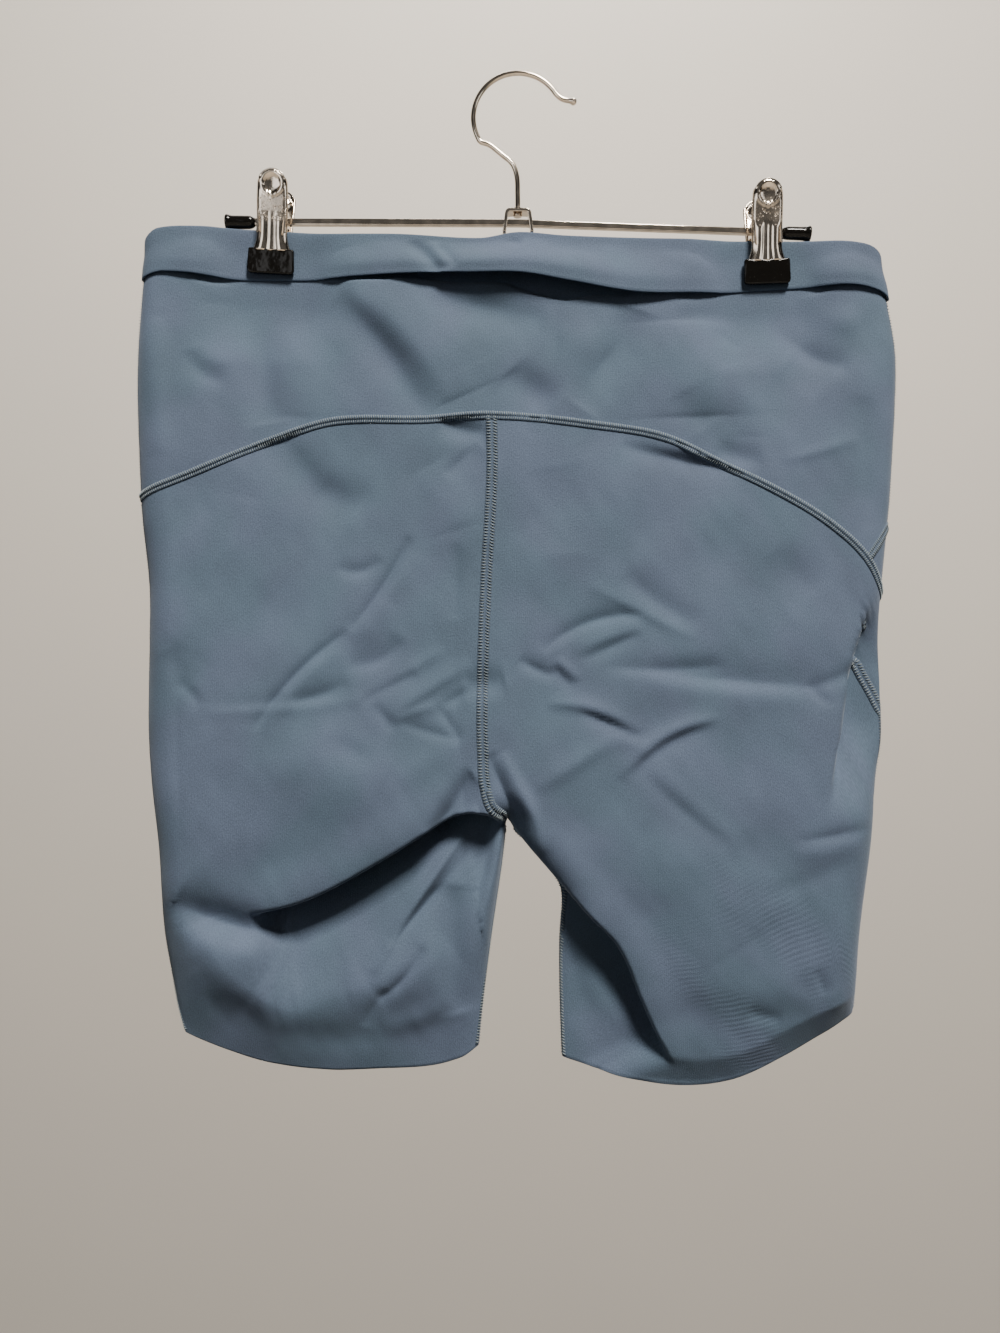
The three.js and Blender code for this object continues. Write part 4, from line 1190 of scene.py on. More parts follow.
def knit_finish(tones):
    """Fine matt knit: close ribs down the cloth, soft heathering, and a lighter raw edge."""
    made = Finish(
        "running_knit", Roughness=0.82, Specular_IOR_Level=0.28, Sheen_Weight=0.22, Sheen_Roughness=0.45,
        Sheen_Tint=(0.80, 0.88, 1.0, 1),
    )
    uv = made.node("ShaderNodeUVMap", {"uv_map": "cloth"}).outputs[0]
    axes = made.node("ShaderNodeSeparateXYZ", Vector=uv)
    across, along = made.number(axes.outputs["X"]), made.number(axes.outputs["Y"])
    edge = made.number(made.node("ShaderNodeAttribute", {"attribute_name": "edge_distance"}).outputs["Fac"])
    wander = made.noise(uv, 140.0) * 0.9
    wales = (across * (math.tau / 0.00105) + wander * 3).sine()
    courses = (along * (math.tau / 0.0008) + wander * 2).sine()
    slant = across * (math.tau / 0.0030) - along * (math.tau / 0.0036) + made.noise(uv, 40.0, 0.0) * 5
    ribbed = slant.sine() * across.between(0.05, 0.11) * (along * -1).between(0.16, 0.23)
    ribbed = ribbed * made.noise(uv, 18.0).between(0.42, 0.6)
    heather = made.noise(uv, 1250.0, 2.0, 0.65)
    cloud = made.noise(uv, 26.0, 3.0, 0.6)
    drawn = made.node("ShaderNodeMapping", Vector=uv, Scale=(1.0, 0.3, 1.0)).outputs[0]
    tone = cloud * 0.34 + heather * 0.62 + made.noise(drawn, 2400.0, 2.0) * 0.3 + ribbed * 0.05
    cloth = made.colour(shaded(tones.cloth, 0.66), shaded(tones.cloth, 1.38), tone.between(0.28, 0.98))
    drift = made.noise(uv, 17.0, 2.0).between(0.35, 0.65)
    hue = made.colour((0.95, 1.0, 0.97, 1), (1.05, 1.0, 1.03, 1), drift)
    cloth = made.colour(cloth, hue, 1.0, "MULTIPLY")
    made.set("Base Color", made.colour(cloth, shaded(tones.cloth, 1.7), (1 - edge.between(0.25, 1.1)) * 0.5))
    made.set("Roughness", (cloud * 0.16 + 0.74).clamped())
    made.bump(wales * 0.14 + courses * 0.06 + ribbed * 0.5 + heather * 1.6 + cloud * 2.0, 0.00009)
    return made.material


def grained_finish(name, tone, shades, scale, bump_scale, bump, **constants):
    """A plain colour that a fine grain shades from one share of it to another."""
    made = Finish(name, **constants)
    place = made.place()
    grain = made.noise(place, scale).between(0.3, 0.7)
    made.set("Base Color", made.colour(*(shaded(tone, share) for share in shades), grain))
    made.bump(made.noise(place, bump_scale), bump)
    return made.material


def seam_finish(tones):
    """The turned edge under the stitches, a shade darker than the cloth."""
    return grained_finish(
        "seam_tape", tones.cloth, (0.75, 1.1), 1500.0, 1500.0, 0.0001,
        Roughness=0.85, Specular_IOR_Level=0.2, Sheen_Weight=0.15,
    )


def thread_finish(tones):
    """Twisted polyester thread, paler than the cloth."""
    return grained_finish(
        "seam_thread", tones.thread, (0.7, 1.15), 1100.0, 4000.0, 0.00006,
        Roughness=0.55, Specular_IOR_Level=0.4, Sheen_Weight=0.2,
    )


def steel_finish(tones, name, pitted=False):
    """Plated steel, bright with fine wear. Pitted steel also has the clips' worn band."""
    made = Finish(name, Metallic=1.0, Roughness=0.2)
    place = made.place()
    cloud = made.noise(place, 180.0, 4.0)
    fine = made.noise(place, 1400.0, 3.0)
    rough = cloud * 0.12 + fine * 0.05 + 0.07
    # Both shades keep the steel tone's warmth, a painted reflection of a warm wall; the cloud varies them at
    # random.
    colour = made.colour(shaded(tones.steel, 0.82), shaded(tones.steel, 1.05), cloud.between(0.35, 0.65))
    height = fine * 0.08 + cloud * 0.3
    if pitted:
        z = made.number(made.node("ShaderNodeSeparateXYZ", Vector=place).outputs["Z"])
        pits = made.number(made.node("ShaderNodeTexVoronoi", Vector=place, Scale=900.0).outputs["Distance"])
        band = z.between(-0.0802, -0.0782) * (1 - z.between(-0.0695, -0.0655))
        worn = band * (1 - pits.between(0.18, 0.42)) * made.noise(place, 420.0).between(0.44, 0.6)
        colour = made.colour(colour, (0.16, 0.12, 0.09, 1), worn)
        rough = rough + worn * 0.45 + band * 0.1
        height = height - worn * 2.0
    made.set("Base Color", colour)
    made.set("Roughness", rough.clamped())
    made.bump(height, 0.00006)
    return made.material


def rubber_finish(tones):
    """Dipped rubber: glossy black with slow unevenness and a few dull scuffs."""
    made = Finish("dipped_rubber", Roughness=0.16, Specular_IOR_Level=0.2)
    place = made.place()
    slow = made.noise(place, 160.0, 2.0)
    dust = made.noise(place, 1300.0, 3.0).between(0.62, 0.75)
    made.set("Base Color", made.colour(shaded(tones.rubber), shaded(tones.rubber, 3.0), dust * 0.4))
    made.set("Roughness", (slow * 0.08 + dust * 0.25 + 0.07).clamped())
    made.bump(slow + dust * 0.05, 0.0003)
    return made.material


def coat(obj, material):
    obj.data.materials.clear()
    obj.data.materials.append(material)


def settle(obj, material, slot, *nodes):
    """Gives a finished piece its material and body, and hides the parts it stands for. Slot is not used."""
    coat(obj, material)
    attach(obj, "root")
    if nodes:
        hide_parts(*nodes)


# ---- Modelling with the editing tools --------------------------------------------------------------------


def begin(name, kind, **settings):
    """Adds a primitive, with nothing else selected, and opens it in edit mode."""
    bpy.ops.object.select_all(action="DESELECT")
    getattr(bpy.ops.mesh, kind)(**settings)
    obj = bpy.context.object
    obj.name = obj.data.name = name
    bpy.ops.object.mode_set(mode="EDIT")
    bpy.ops.mesh.select_mode(type="VERT")
    bpy.ops.mesh.select_all(action="SELECT")
    return obj


def end(obj, angle=35):
    """Closes edit mode with the faces outwards, the object at the origin and its soft edges smooth."""
    bpy.ops.mesh.select_all(action="SELECT")
    bpy.ops.mesh.normals_make_consistent(inside=False)
    bpy.ops.object.mode_set(mode="OBJECT")
    bpy.ops.object.transform_apply(location=True, rotation=True, scale=True)
    bpy.ops.object.shade_smooth_by_angle(angle=math.radians(angle))
    return obj


def choose(obj, test):
    """Selects the vertices whose place, in metres, passes a test."""
    bm = bmesh.from_edit_mesh(obj.data)
    for vertex in bm.verts:
        vertex.select = bool(test(vertex.co))
    bm.select_flush_mode()
    bmesh.update_edit_mesh(obj.data)


def choose_all():
    bpy.ops.mesh.select_all(action="SELECT")


def move(x=0.0, y=0.0, z=0.0):
    bpy.ops.transform.translate(value=(x * MM, y * MM, z * MM))


def stretch(x=1.0, y=1.0, z=1.0, about=(0, 0, 0)):
    bpy.ops.transform.resize(value=(x, y, z), center_override=[c * MM for c in about])


def turn(angle, axis, about):
    """Turns the selection by the right-hand rule. With no window the tool itself turns the other way."""
    bpy.ops.transform.rotate(
        value=-angle, orient_axis=axis, orient_type="GLOBAL", center_override=[c * MM for c in about]
    )


def apply_modifier(obj, kind, **settings):
    modifier = obj.modifiers.new(kind.title(), kind)
    for name, value in settings.items():
        setattr(modifier, name, value)
    bpy.context.view_layer.objects.active = obj
    bpy.ops.object.modifier_apply(modifier=modifier.name)


def soften(obj, width, segments=2, angle=40):
    """Rounds the sharp edges by a width in millimetres."""
    limit = {"limit_method": "ANGLE", "angle_limit": math.radians(angle)}
    apply_modifier(obj, "BEVEL", width=width * MM, segments=segments, **limit)
    return obj


def join(first, *others):
    bpy.ops.object.select_all(action="DESELECT")
    for obj in (first, *others):
        obj.select_set(True)
    bpy.context.view_layer.objects.active = first
    bpy.ops.object.join()
    return first


def another(obj, name, offset, about_face, lean):
    """A copy with its own mesh, leant to the right or turned to face the other way, and then moved."""
    bpy.ops.object.select_all(action="DESELECT")
    obj.select_set(True)
    bpy.context.view_layer.objects.active = obj
    bpy.ops.object.duplicate(linked=False)
    copy = bpy.context.object
    copy.name = copy.data.name = name
    copy.rotation_euler = (0, -lean, math.pi) if about_face else (0, lean, 0)
    copy.location = [c * MM for c in offset]
    bpy.ops.object.transform_apply(location=True, rotation=True, scale=True)
    return copy


def sweep(path, axis, scales=None):
    """Extrudes the whole selection, an end face round the origin that faces up, through a flat path of places
    in millimetres. Axis is the one that the path turns about."""
    path = np.asarray(path, float)
    ahead = unit(np.gradient(path, axis=0))
    angles = np.arctan2(ahead[:, 0], ahead[:, 2]) if axis == "Y" else np.arctan2(-ahead[:, 1], ahead[:, 2])
    angles = np.unwrap(angles)
    scales = np.ones(len(path)) if scales is None else np.asarray(scales, float)
    turn(angles[0], axis, (0, 0, 0))
    if scales[0] != 1:
        stretch(scales[0], scales[0], scales[0])
    move(*path[0])
    for k in range(1, len(path)):
        step = tuple((path[k] - path[k - 1]) * MM)
        bpy.ops.mesh.extrude_region_move(TRANSFORM_OT_translate={"value": step})
        if abs(angles[k] - angles[k - 1]) > 1e-6:
            turn(angles[k] - angles[k - 1], axis, path[k])
        growth = scales[k] / scales[k - 1]
        if abs(growth - 1) > 1e-6:
            stretch(growth, growth, growth, path[k])


def upright_line(rows):
    """Places (x, z) as (x, 0, z)."""
    rows = np.asarray(rows, float)
    return np.stack([rows[:, 0], np.zeros(len(rows)), rows[:, 1]], axis=1)


def rounded(corners, radius, turns=5):
    """A line of (a, b) corners with each inner corner rounded."""
    corners = [np.array(c, float) for c in corners]
    line = [corners[0]]
    for before, corner, after in zip(corners, corners[1:], corners[2:]):
        start = corner + radius * unit(before - corner)
        finish = corner + radius * unit(after - corner)
        for t in np.linspace(0, 1, turns + 1):
            line.append((1 - t) ** 2 * start + 2 * t * (1 - t) * corner + t * t * finish)
    return np.array([*line, corners[-1]])


# ---- Sizes of the hanger, in millimetres -----------------------------------------------------------------

# The gap that keeps collar and rivet clear of the stirrup, and the wire of the hook.
SIT = 0.3
WIRE_RADIUS = 1.35
HOOK_NECK = [(-0.2, -73), (-0.2, -62), (-0.7, -52), (-3, -45.9), (-8.6, -41), (-15, -36)]
HOOK_ARC = {"radius": 23.3, "from": 212, "to": 32, "turns": 30}
HOOK_TIP = [(23, -12.2), (27.4, -13.2)]
BEAD_RADIUS = 1.95
BEAD_SECTIONS = [46, 62, 78, 94, 112, 130, 148, 164]
COLLAR = {"radius": 2.1, "high": 1.1, "x": -0.2, "above": 0.55, "edge": 0.25}
RIVET = {"radius": 2.3, "high": 1.2, "x": -0.2, "below": 0.6, "edge": 0.35}
STIRRUP = {"top": -70.3, "foot": -82.5, "top_half": 6.6, "foot_half": 8.1, "thick": 1.8, "deep": 7.0}
BAR = {"high": 3.4, "deep": 3.0, "left": -76.5, "middle": -77.0, "right": -82.0, "reach": 137.0}
CAP = columns("radius along", [
    (1.6, 0), (2.3, 0.7), (2.8, 1.5), (3.15, 2.4), (3.3, 4), (3.35, 8), (3.4, 12.0), (3.62, 13.2),
    (4.0, 14.2), (4.1, 15.0), (3.8, 15.5), (2.9, 15.7), (1.4, 15.8),
])
# A jaw from the front: half its width by height, from its flared foot to the middle of its round handle.
JAW_WIDTH = columns("z half", [
    (-16.8, 9.8), (-14.5, 8.9), (-12, 8.1), (-9, 7.6), (0, 7.6), (9, 7.6), (14.9, 7.4),
])
HANDLE = {"radius": 7.4, "z": 14.9}
# A jaw from the side: how far it stands from the bar's middle plane, by height.
JAW_LEAN = columns("z away", [(-16.8, 5.1), (-11, 5.7), (-3, 7.0), (5, 8.6), (15, 11.0), (22.5, 12.4)])
JAW_SHEET = 1.0
# How a jaw is divided: faces across, rows up to the middle of its handle and rows round the handle's top.
JAW_FACES = {"across": 30, "low": 46, "high": 15}
# The edges turn back in steps below a height: from which share of the half width on, and how far.
TURNED_BELOW = 18
TURNED_EDGE = [(0.86, 0.25), (0.93, 0.45), (0.99, 0.7)]
# Each rib's middle, half width and height, and its steps: shares of the half width and height, and its top.
RIBS = [(-4.1, 1.6, 0.75), (-0.6, 0.9, 0.35), (4.0, 1.6, 0.75)]
RIB_STEPS = [(1.0, 0.35, 1.6), (0.72, 0.35, 0.6), (0.4, 0.3, -0.2)]
# The dimple has a raised ring, and goes down in steps: from which share of its radius on, and how deep.
DIMPLE = {"z": 15.2, "radius": 5.0, "ring": (0.92, 1.2), "ring_high": 0.35}
DIMPLE_STEPS = [(0.95, 0.35), (0.82, 0.35), (0.66, 0.25), (0.48, 0.15), (0.28, 0.1)]
# An ear's place and size, and how far its middle and front edges move in at the top and up at the bottom.
EARS = {"near": 6.9, "far": 5.5}
EAR = {"y": -2.8, "z": -2, "deep": 11.2, "high": 14, "bend": -1.2}
EAR_CORNERS = [(-1.2, -1.2, 5.6), (2.8, -2.8, 6.0)]
SPRING = {"sheet": 0.8, "wide": 7.6, "half": 5.7, "top": 5.2, "bend": -1, "foot_half": 4.3, "foot": -12.4}
TIP = {"half": 12.3, "top": -15.8, "end": -28.3, "deep": 3.4, "corner": 2.4, "taper": 0.6, "toe": 1.3}
TIP_FACE = LAYER_APART + 2 * FOLD_RADIUS + CLOTH / 2 + 0.1
# The dip line's waves: where the tip is cut across, and how far every other cut's upper end goes down.
TIP_WAVES = [-9, -5.6, -2.8, 0, 2.8, 5.6, 9]
TIP_WAVE_DEEP = 0.9


def cylinder(name, size, z):
    """A short upright cylinder, a little narrower at its top."""
    obj = begin(
        name, "primitive_cylinder_add", vertices=32, radius=size["radius"] * MM, depth=size["high"] * MM
    )
    choose(obj, lambda c: c.z > 0)
    stretch(0.96, 0.96, 1)
    choose_all()
    move(size["x"], 0, z)
    return soften(end(obj), size["edge"], 3)


def make_hook():
    """The hook: a wire bent round a peg's place to a bead, with a collar and a rivet on its shank."""
    turns = np.radians(np.linspace(HOOK_ARC["from"], HOOK_ARC["to"], HOOK_ARC["turns"] + 1))
    reach = HOOK_ARC["radius"]
    arc = [(reach * math.cos(a), WIRE_RADIUS - reach + reach * math.sin(a)) for a in turns]
    line = smooth_line([*HOOK_NECK, *arc, *HOOK_TIP], 86)
    heading = unit(line[-1] - line[-2])
    swell = np.radians(BEAD_SECTIONS)
    centre = line[-1] + heading * BEAD_RADIUS * math.cos(swell[0])
    bead = [centre - heading * BEAD_RADIUS * math.cos(a) for a in swell]
    path = upright_line([*line, *bead[1:]])
    scales = [1.0] * len(line) + [BEAD_RADIUS * math.sin(a) / WIRE_RADIUS for a in swell[1:]]
    wire = begin("hook_wire", "primitive_circle_add", vertices=20, radius=WIRE_RADIUS * MM, fill_type="NGON")
    sweep(path, "Y", scales)
    end(wire, 50)
    top = STIRRUP["top"]
    collar = cylinder("hook_collar", COLLAR, top + SIT + COLLAR["above"])
    rivet = cylinder("hook_rivet", RIVET, top - STIRRUP["thick"] - SIT - RIVET["below"])
    return join(wire, collar, rivet)


def make_stirrup():
    """The frame that joins hook and bar: a strip bent into an open trapezoid, its feet outside the bar."""
    half = STIRRUP["thick"] / 2
    top, foot = STIRRUP["top"] - half, STIRRUP["foot"]
    a, b = STIRRUP["top_half"] - half, STIRRUP["foot_half"] - half
    path = rounded([(-b, foot), (-a, top), (a, top), (b, foot)], 1.7)
    obj = begin("hanger_stirrup", "primitive_plane_add", size=MM)
    stretch(STIRRUP["thick"], STIRRUP["deep"], 1)
    sweep(upright_line(path), "Y")
    return soften(end(obj, 30), 0.32, 3)


def make_bar():
    """One flat bar, bent a little at the stirrup, so that its right half hangs lower."""
    obj = begin("hanger_flat_bar", "primitive_cube_add", size=MM)
    stretch(2 * BAR["reach"], BAR["deep"], BAR["high"])
    bpy.ops.mesh.bisect(plane_co=(0, 0, 0), plane_no=(1, 0, 0))
    for side, height in ((-1, "left"), (0, "middle"), (1, "right")):
        choose(obj, lambda c: side == (c.x > MM) - (c.x < -MM))
        move(z=BAR[height])
    return soften(end(obj, 30), 0.45, 3)


def make_cap(side):
    """A rubber cap pushed on a bar end: a short cone towards the clip, then a sleeve with a flared rim."""
    height = BAR["left"] if side < 0 else BAR["right"]
    slope = 0 if side < 0 else math.atan2(BAR["middle"] - BAR["right"], BAR["reach"])
    way = np.array([side * math.cos(slope), 0, -math.sin(slope)])
    start = np.array([side * (BAR["reach"] - 0.4), 0, height])
    name = f"bar_end_{'left' if side < 0 else 'right'}"
    obj = begin(name, "primitive_circle_add", vertices=32, radius=MM, fill_type="NGON")
    sweep([start + way * a for a in CAP["along"]], "Y", CAP["radius"])
    return end(obj, 50)


def make_jaw(name, ear_at):
    """A stamped jaw on the near side: a flared foot with ribs, a round handle with a dimple, and two ears."""
    heights = list(np.linspace(JAW_WIDTH["z"][0], HANDLE["z"], JAW_FACES["low"]))
    halves = [float(read(JAW_WIDTH, "z", "half", z)) for z in heights]
    for angle in np.linspace(0, math.radians(84), JAW_FACES["high"] + 1)[1:]:
        heights.append(HANDLE["z"] + HANDLE["radius"] * math.sin(angle))
        halves.append(HANDLE["radius"] * math.cos(angle))
    rows = len(heights) - 1
    across = JAW_FACES["across"]
    obj = begin(name, "primitive_grid_add", x_subdivisions=across, y_subdivisions=rows, size=2 * MM)
    turn(math.pi / 2, "X", (0, 0, 0))
    for k in range(rows, -1, -1):
        row = (2 * k / rows - 1) * MM
        choose(obj, lambda c: abs(c.z - row) < MM / rows and abs(c.y) < MM)
        stretch(halves[k], 1, 1)
        move(y=-float(read(JAW_LEAN, "z", "away", heights[k])), z=heights[k] - row / MM)

    def edge(c):
        return float(np.interp(c.z / MM, heights, halves)) * MM

    def from_dimple(c):
        return math.hypot(c.x, c.z - DIMPLE["z"] * MM) / (DIMPLE["radius"] * MM)

    for share, back in TURNED_EDGE:
        choose(obj, lambda c: abs(c.x) > share * edge(c) and c.z < TURNED_BELOW * MM)
        move(y=back)
    for middle, half, high in RIBS:
        for share, part, top in RIB_STEPS:
            choose(obj, lambda c: c.z < top * MM and abs(c.x * 7.6 / edge(c) - middle) < half * share)
            move(y=-high * part)
    inside, outside = DIMPLE["ring"]
    choose(obj, lambda c: inside < from_dimple(c) < outside)
    move(y=-DIMPLE["ring_high"])
    for reach, deep in DIMPLE_STEPS:
        choose(obj, lambda c: from_dimple(c) < reach)
        move(y=deep)
    end(obj, 50)
    apply_modifier(obj, "SOLIDIFY", thickness=JAW_SHEET * MM, offset=0.0, use_even_offset=False)
    return join(obj, *(make_ear(f"{name}_ear", side * ear_at) for side in (-1, 1)))


def make_ear(name, x):
    """One ear of a jaw: an upright plate that reaches back past the bar, narrower towards its end."""
    ear = begin(name, "primitive_cube_add", size=MM)
    stretch(JAW_SHEET, EAR["deep"], EAR["high"])
    move(x, EAR["y"], EAR["z"])
    bpy.ops.mesh.bisect(plane_co=(0, EAR["bend"] * MM, 0), plane_no=(0, 1, 0))
    for y, top, bottom in EAR_CORNERS:
        for upper, by in ((True, top), (False, bottom)):
            choose(ear, lambda c: abs(c.y - y * MM) < 0.1 * MM and (c.z > EAR["z"] * MM) == upper)
            move(z=by)
    return soften(end(ear, 30), 0.2, 2)


def make_spring():
    """A leaf bent over the bar, whose legs press the jaws' ends together."""
    turns = np.radians(np.linspace(180, 0, 15))
    rise = SPRING["top"] - SPRING["bend"]
    arc = [(SPRING["half"] * math.cos(a), SPRING["bend"] + rise * math.sin(a)) for a in turns]
    line = [(-SPRING["foot_half"], SPRING["foot"]), *arc, (SPRING["foot_half"], SPRING["foot"])]
    obj = begin("clip_leaf", "primitive_plane_add", size=MM)
    stretch(SPRING["wide"], SPRING["sheet"], 1)
    sweep([(0, a, b) for a, b in line], "X")
    return soften(end(obj, 30), 0.18, 2)


def make_tip():
    """The dipped rubber end of the near jaw: a block with rounded lower corners and a wavy top edge."""
    obj = begin("clip_grip", "primitive_cube_add", size=MM)
    stretch(2 * TIP["half"], TIP["deep"], TIP["top"] - TIP["end"])
    move(0, -(TIP_FACE + TIP["deep"] / 2), (TIP["top"] + TIP["end"]) / 2)
    choose(obj, lambda c: c.z > (TIP["top"] - 1) * MM)
    stretch(1 - TIP["taper"] / TIP["half"], 1, 1)
    for side in (-1, 1):
        choose(obj, lambda c: c.x * side > 0 and c.z < (TIP["end"] + 1) * MM)
        bpy.ops.mesh.bevel(offset=TIP["corner"] * MM, segments=5, affect="EDGES")
    choose(obj, lambda c: c.z < (TIP["end"] + 3) * MM and c.y < -(TIP_FACE + 1) * MM)
    move(y=TIP["toe"])
    for x in TIP_WAVES:
        choose_all()
        bpy.ops.mesh.bisect(plane_co=(x * MM, 0, 0), plane_no=(1, 0, 0))
    low = TIP_WAVES[1::2]
    choose(obj, lambda c: c.z > (TIP["top"] - 1) * MM and min(abs(c.x / MM - x) for x in low) < 0.2)
    move(z=-TIP_WAVE_DEEP)
    return soften(end(obj, 60), 0.85, 4, 50)


# ---- Cloth and seams -------------------------------------------------------------------------------------


# The seams that bound each layer's pieces, and the lines that bound each side's legs.
LAYER_SEAMS = {"back": (BACK_YOKE_SEAM, BACK_SEAM), "front": (FRONT_YOKE_SEAM, FRONT_SEAM)}
LEG_LINES = {
    "left": {"inner": LEFT_INNER, "hem": LEFT_HEM, "back": BACK_LEFT_CROSS, "front": FRONT_LEFT_CROSS},
    "right": {"inner": RIGHT_INNER, "hem": RIGHT_HEM, "back": RIGHT_CROSS, "front": RIGHT_CROSS},
}
# Past the side, the front yoke's seam goes on round the edge onto the back for a little way.
FRONT_SEAM_TAIL = columns("x z", [
    (189.4, -237), (186.6, -241), (183.2, -245.6), (179.4, -250.4), (177.2, -253.2),
])


def make_cloth(detail):
    """The six pieces of cloth, by node name."""
    wide = {"back": detail.back_columns, "front": detail.front_columns}
    grids = {f"{layer}_yoke": yoke_grid(layer, LAYER_SEAMS[layer][0], wide[layer]) for layer in wide}
    for side, lines in LEG_LINES.items():
        for layer, (seam, centre_seam) in LAYER_SEAMS.items():
            across = int(wide[layer] * LEG_SHARE)
            bounds = seam, centre_seam, lines[layer], lines["inner"], lines["hem"]
            grids[f"{layer}_leg_{side}"] = leg_grid(layer, side, *bounds, across)
    pieces = {}
    for node, grid in grids.items():
        inside = len(grid) * 2 // 3, grid.shape[1] // 2
        facing = 1 if grid_normals(grid)[inside][1] * grid[inside][1] > 0 else -1
        pieces[node] = cloth_wall(f"{node}_knit", grid, "first" if "yoke" in node else "last", facing)
        check_closed(pieces[node])
    return pieces


def cloth_edge(node, edge):
    """One edge of a piece's middle surface and the directions that it faces."""
    grid = CLOTH_SURFACES[node]
    normals = grid_normals(grid)
    normals = normals * np.sign((normals[..., 1] * grid[..., 1]).sum())
    rows = {"bottom": np.s_[-1, :], "left": np.s_[:, 0], "right": np.s_[:, -1]}[edge]
    return grid[rows], normals[rows]


def layer_seams(layer):
    """The seam under a layer's yoke and the one between its legs."""
    points, facings = cloth_edge(f"{layer}_yoke", "bottom")
    if layer == "front":
        tail = on_cloth("back", 0, FRONT_SEAM_TAIL["x"], FRONT_SEAM_TAIL["z"], False)
        points = np.vstack([points, tail])
        facings = np.vstack([facings, np.tile([0.4, -1.0, 0], (len(tail), 1))])
    yield f"{layer}_yoke", points, facings, piped_seam, f"{layer}_yoke"
    points, facings = cloth_edge(f"{layer}_leg_left", "right")
    above = points[:, 2] > CROTCH[1] + 0.6
    yield f"{layer}_centre", points[above], facings[above], flat_seam, f"{layer}_leg_left"


def side_seams(side):
    """The inner leg seam and the side seam of one side. The right side seam comes round onto the back."""
    out = -1 if side == "left" else 1
    node = f"back_leg_{side}"
    points, facings = cloth_edge(node, "right" if side == "left" else "left")
    below = points[:, 2] < CROTCH[1] - 5
    facings = facings[below] * 0.2 + np.array([-out * 1.0, 0, 0])
    yield f"{side}_inseam", points[below] * [1, 0, 1], facings, flat_seam, node
    end = -1 if side == "right" else 0
    z = np.linspace(WAIST["top"][end] - 8, LEG_LINES[side]["hem"]["z"][end] + 0.6, 300)
    points = np.stack([read(BODY, "z", side, z), np.zeros_like(z), z], axis=1)
    facings = np.tile([out * 1.0, 0, 0], (len(z), 1))
    if side == "right":
        start = SIDE_SEAM_SHIFT["z"][0]
        upper, lower = z > start + 12, z <= start
        yield "right_side_upper", points[upper], facings[upper], flat_seam, node
        shift = read(SIDE_SEAM_SHIFT, "z", "shift", z)
        points[:, 0] -= shift
        points[:, 1] -= 0.6 * shift
        facings[:, 1] -= 0.4 * shift
        points, facings = points[lower], facings[lower]
    yield f"{side}_side", points, facings, flat_seam, node


def make_seams(pitch):
    """Every seam as a tape and its threads, with the cloth node that it lies on."""
    surface = Surface()
    groups = (layer_seams("back"), layer_seams("front"), side_seams("left"), side_seams("right"))
    for name, points, facings, sew, node in (seam for group in groups for seam in group):
        line = SeamLine(surface, points, facings)
        bands, threads = Bundle(), Bundle()
        sew(line, bands, threads, pitch[sew.__name__])
        yield bands.make(f"{name}_seam_tape"), threads.make(f"{name}_seam_threads"), node


# ---- Settings, operators and panel -----------------------------------------------------------------------


class ShortsTones(bpy.types.PropertyGroup):
    cloth: bpy.props.FloatVectorProperty(
        name="Cloth", description="Colour of the knit", subtype="COLOR", size=3,
        default=(0.114, 0.157, 0.224),
    )
    thread: bpy.props.FloatVectorProperty(
        name="Thread", description="Colour of the seams' thread", subtype="COLOR", size=3,
        default=(0.34, 0.40, 0.42),
    )
    # The steel's warm tint is a painted reflection of a warm wall, not the plating's own colour.
    steel: bpy.props.FloatVectorProperty(
        name="Steel", description="Colour of the plated steel", subtype="COLOR", size=3,
        default=(0.68, 0.59, 0.49),
    )
    rubber: bpy.props.FloatVectorProperty(
        name="Rubber", description="Colour of the clips' rubber", subtype="COLOR", size=3,
        default=(0.008, 0.007, 0.006),
    )


class ShortsDetail(bpy.types.PropertyGroup):
    back_columns: bpy.props.IntProperty(
        name="Back columns", description="Columns of faces across the back yoke",
        default=236, min=80, max=300,
    )
    front_columns: bpy.props.IntProperty(
        name="Front columns", description="Columns of faces across the front yoke",
        default=150, min=60, max=240,
    )
    ridge_pitch: bpy.props.FloatProperty(
        name="Yoke stitch", description="Length of a stitch on the yoke seams",
        subtype="DISTANCE", unit="LENGTH", default=0.00115, min=0.0008, max=0.004,
    )
    flat_pitch: bpy.props.FloatProperty(
        name="Flat stitch", description="Length of a stitch on the flat seams",
        subtype="DISTANCE", unit="LENGTH", default=0.0015, min=0.0008, max=0.004,
    )


class ShortsStage(bpy.types.PropertyGroup):
    key: bpy.props.FloatProperty(
        name="Key light", description="Strength of the key light", unit="POWER", default=485.0
    )
    fill: bpy.props.FloatProperty(
        name="Fill light", description="Strength of the fill", unit="POWER", default=3.0
    )
    rear: bpy.props.FloatProperty(
        name="Rear light", description="Light on the front", unit="POWER", default=20.0
    )
    card: bpy.props.FloatProperty(
        name="Reflection", description="Strength of the lights that only the metal shows", default=6.0
    )
    wash: bpy.props.FloatProperty(
        name="Backdrop light", description="Light on the backdrop", unit="POWER", default=16.0
    )
    world: bpy.props.FloatProperty(
        name="Room light", description="Strength of the light all round", default=0.012
    )
    backdrop: bpy.props.FloatVectorProperty(
        name="Backdrop", description="Colour of floor and backdrop", subtype="COLOR", size=3,
        default=(0.80, 0.74, 0.66),
    )


def tones(context):
    return context.scene.shorts_tones


class SHORTS_OT_cloth(bpy.types.Operator):
    """Builds the yokes and legs of the shorts in knit cloth"""

    bl_idname = "shorts.cloth"
    bl_label = "Build the cloth"

    def execute(self, context):
        knit = knit_finish(tones(context))
        for node, piece in make_cloth(context.scene.shorts_detail).items():
            settle(piece, knit, "cloth", node)
        return {"FINISHED"}


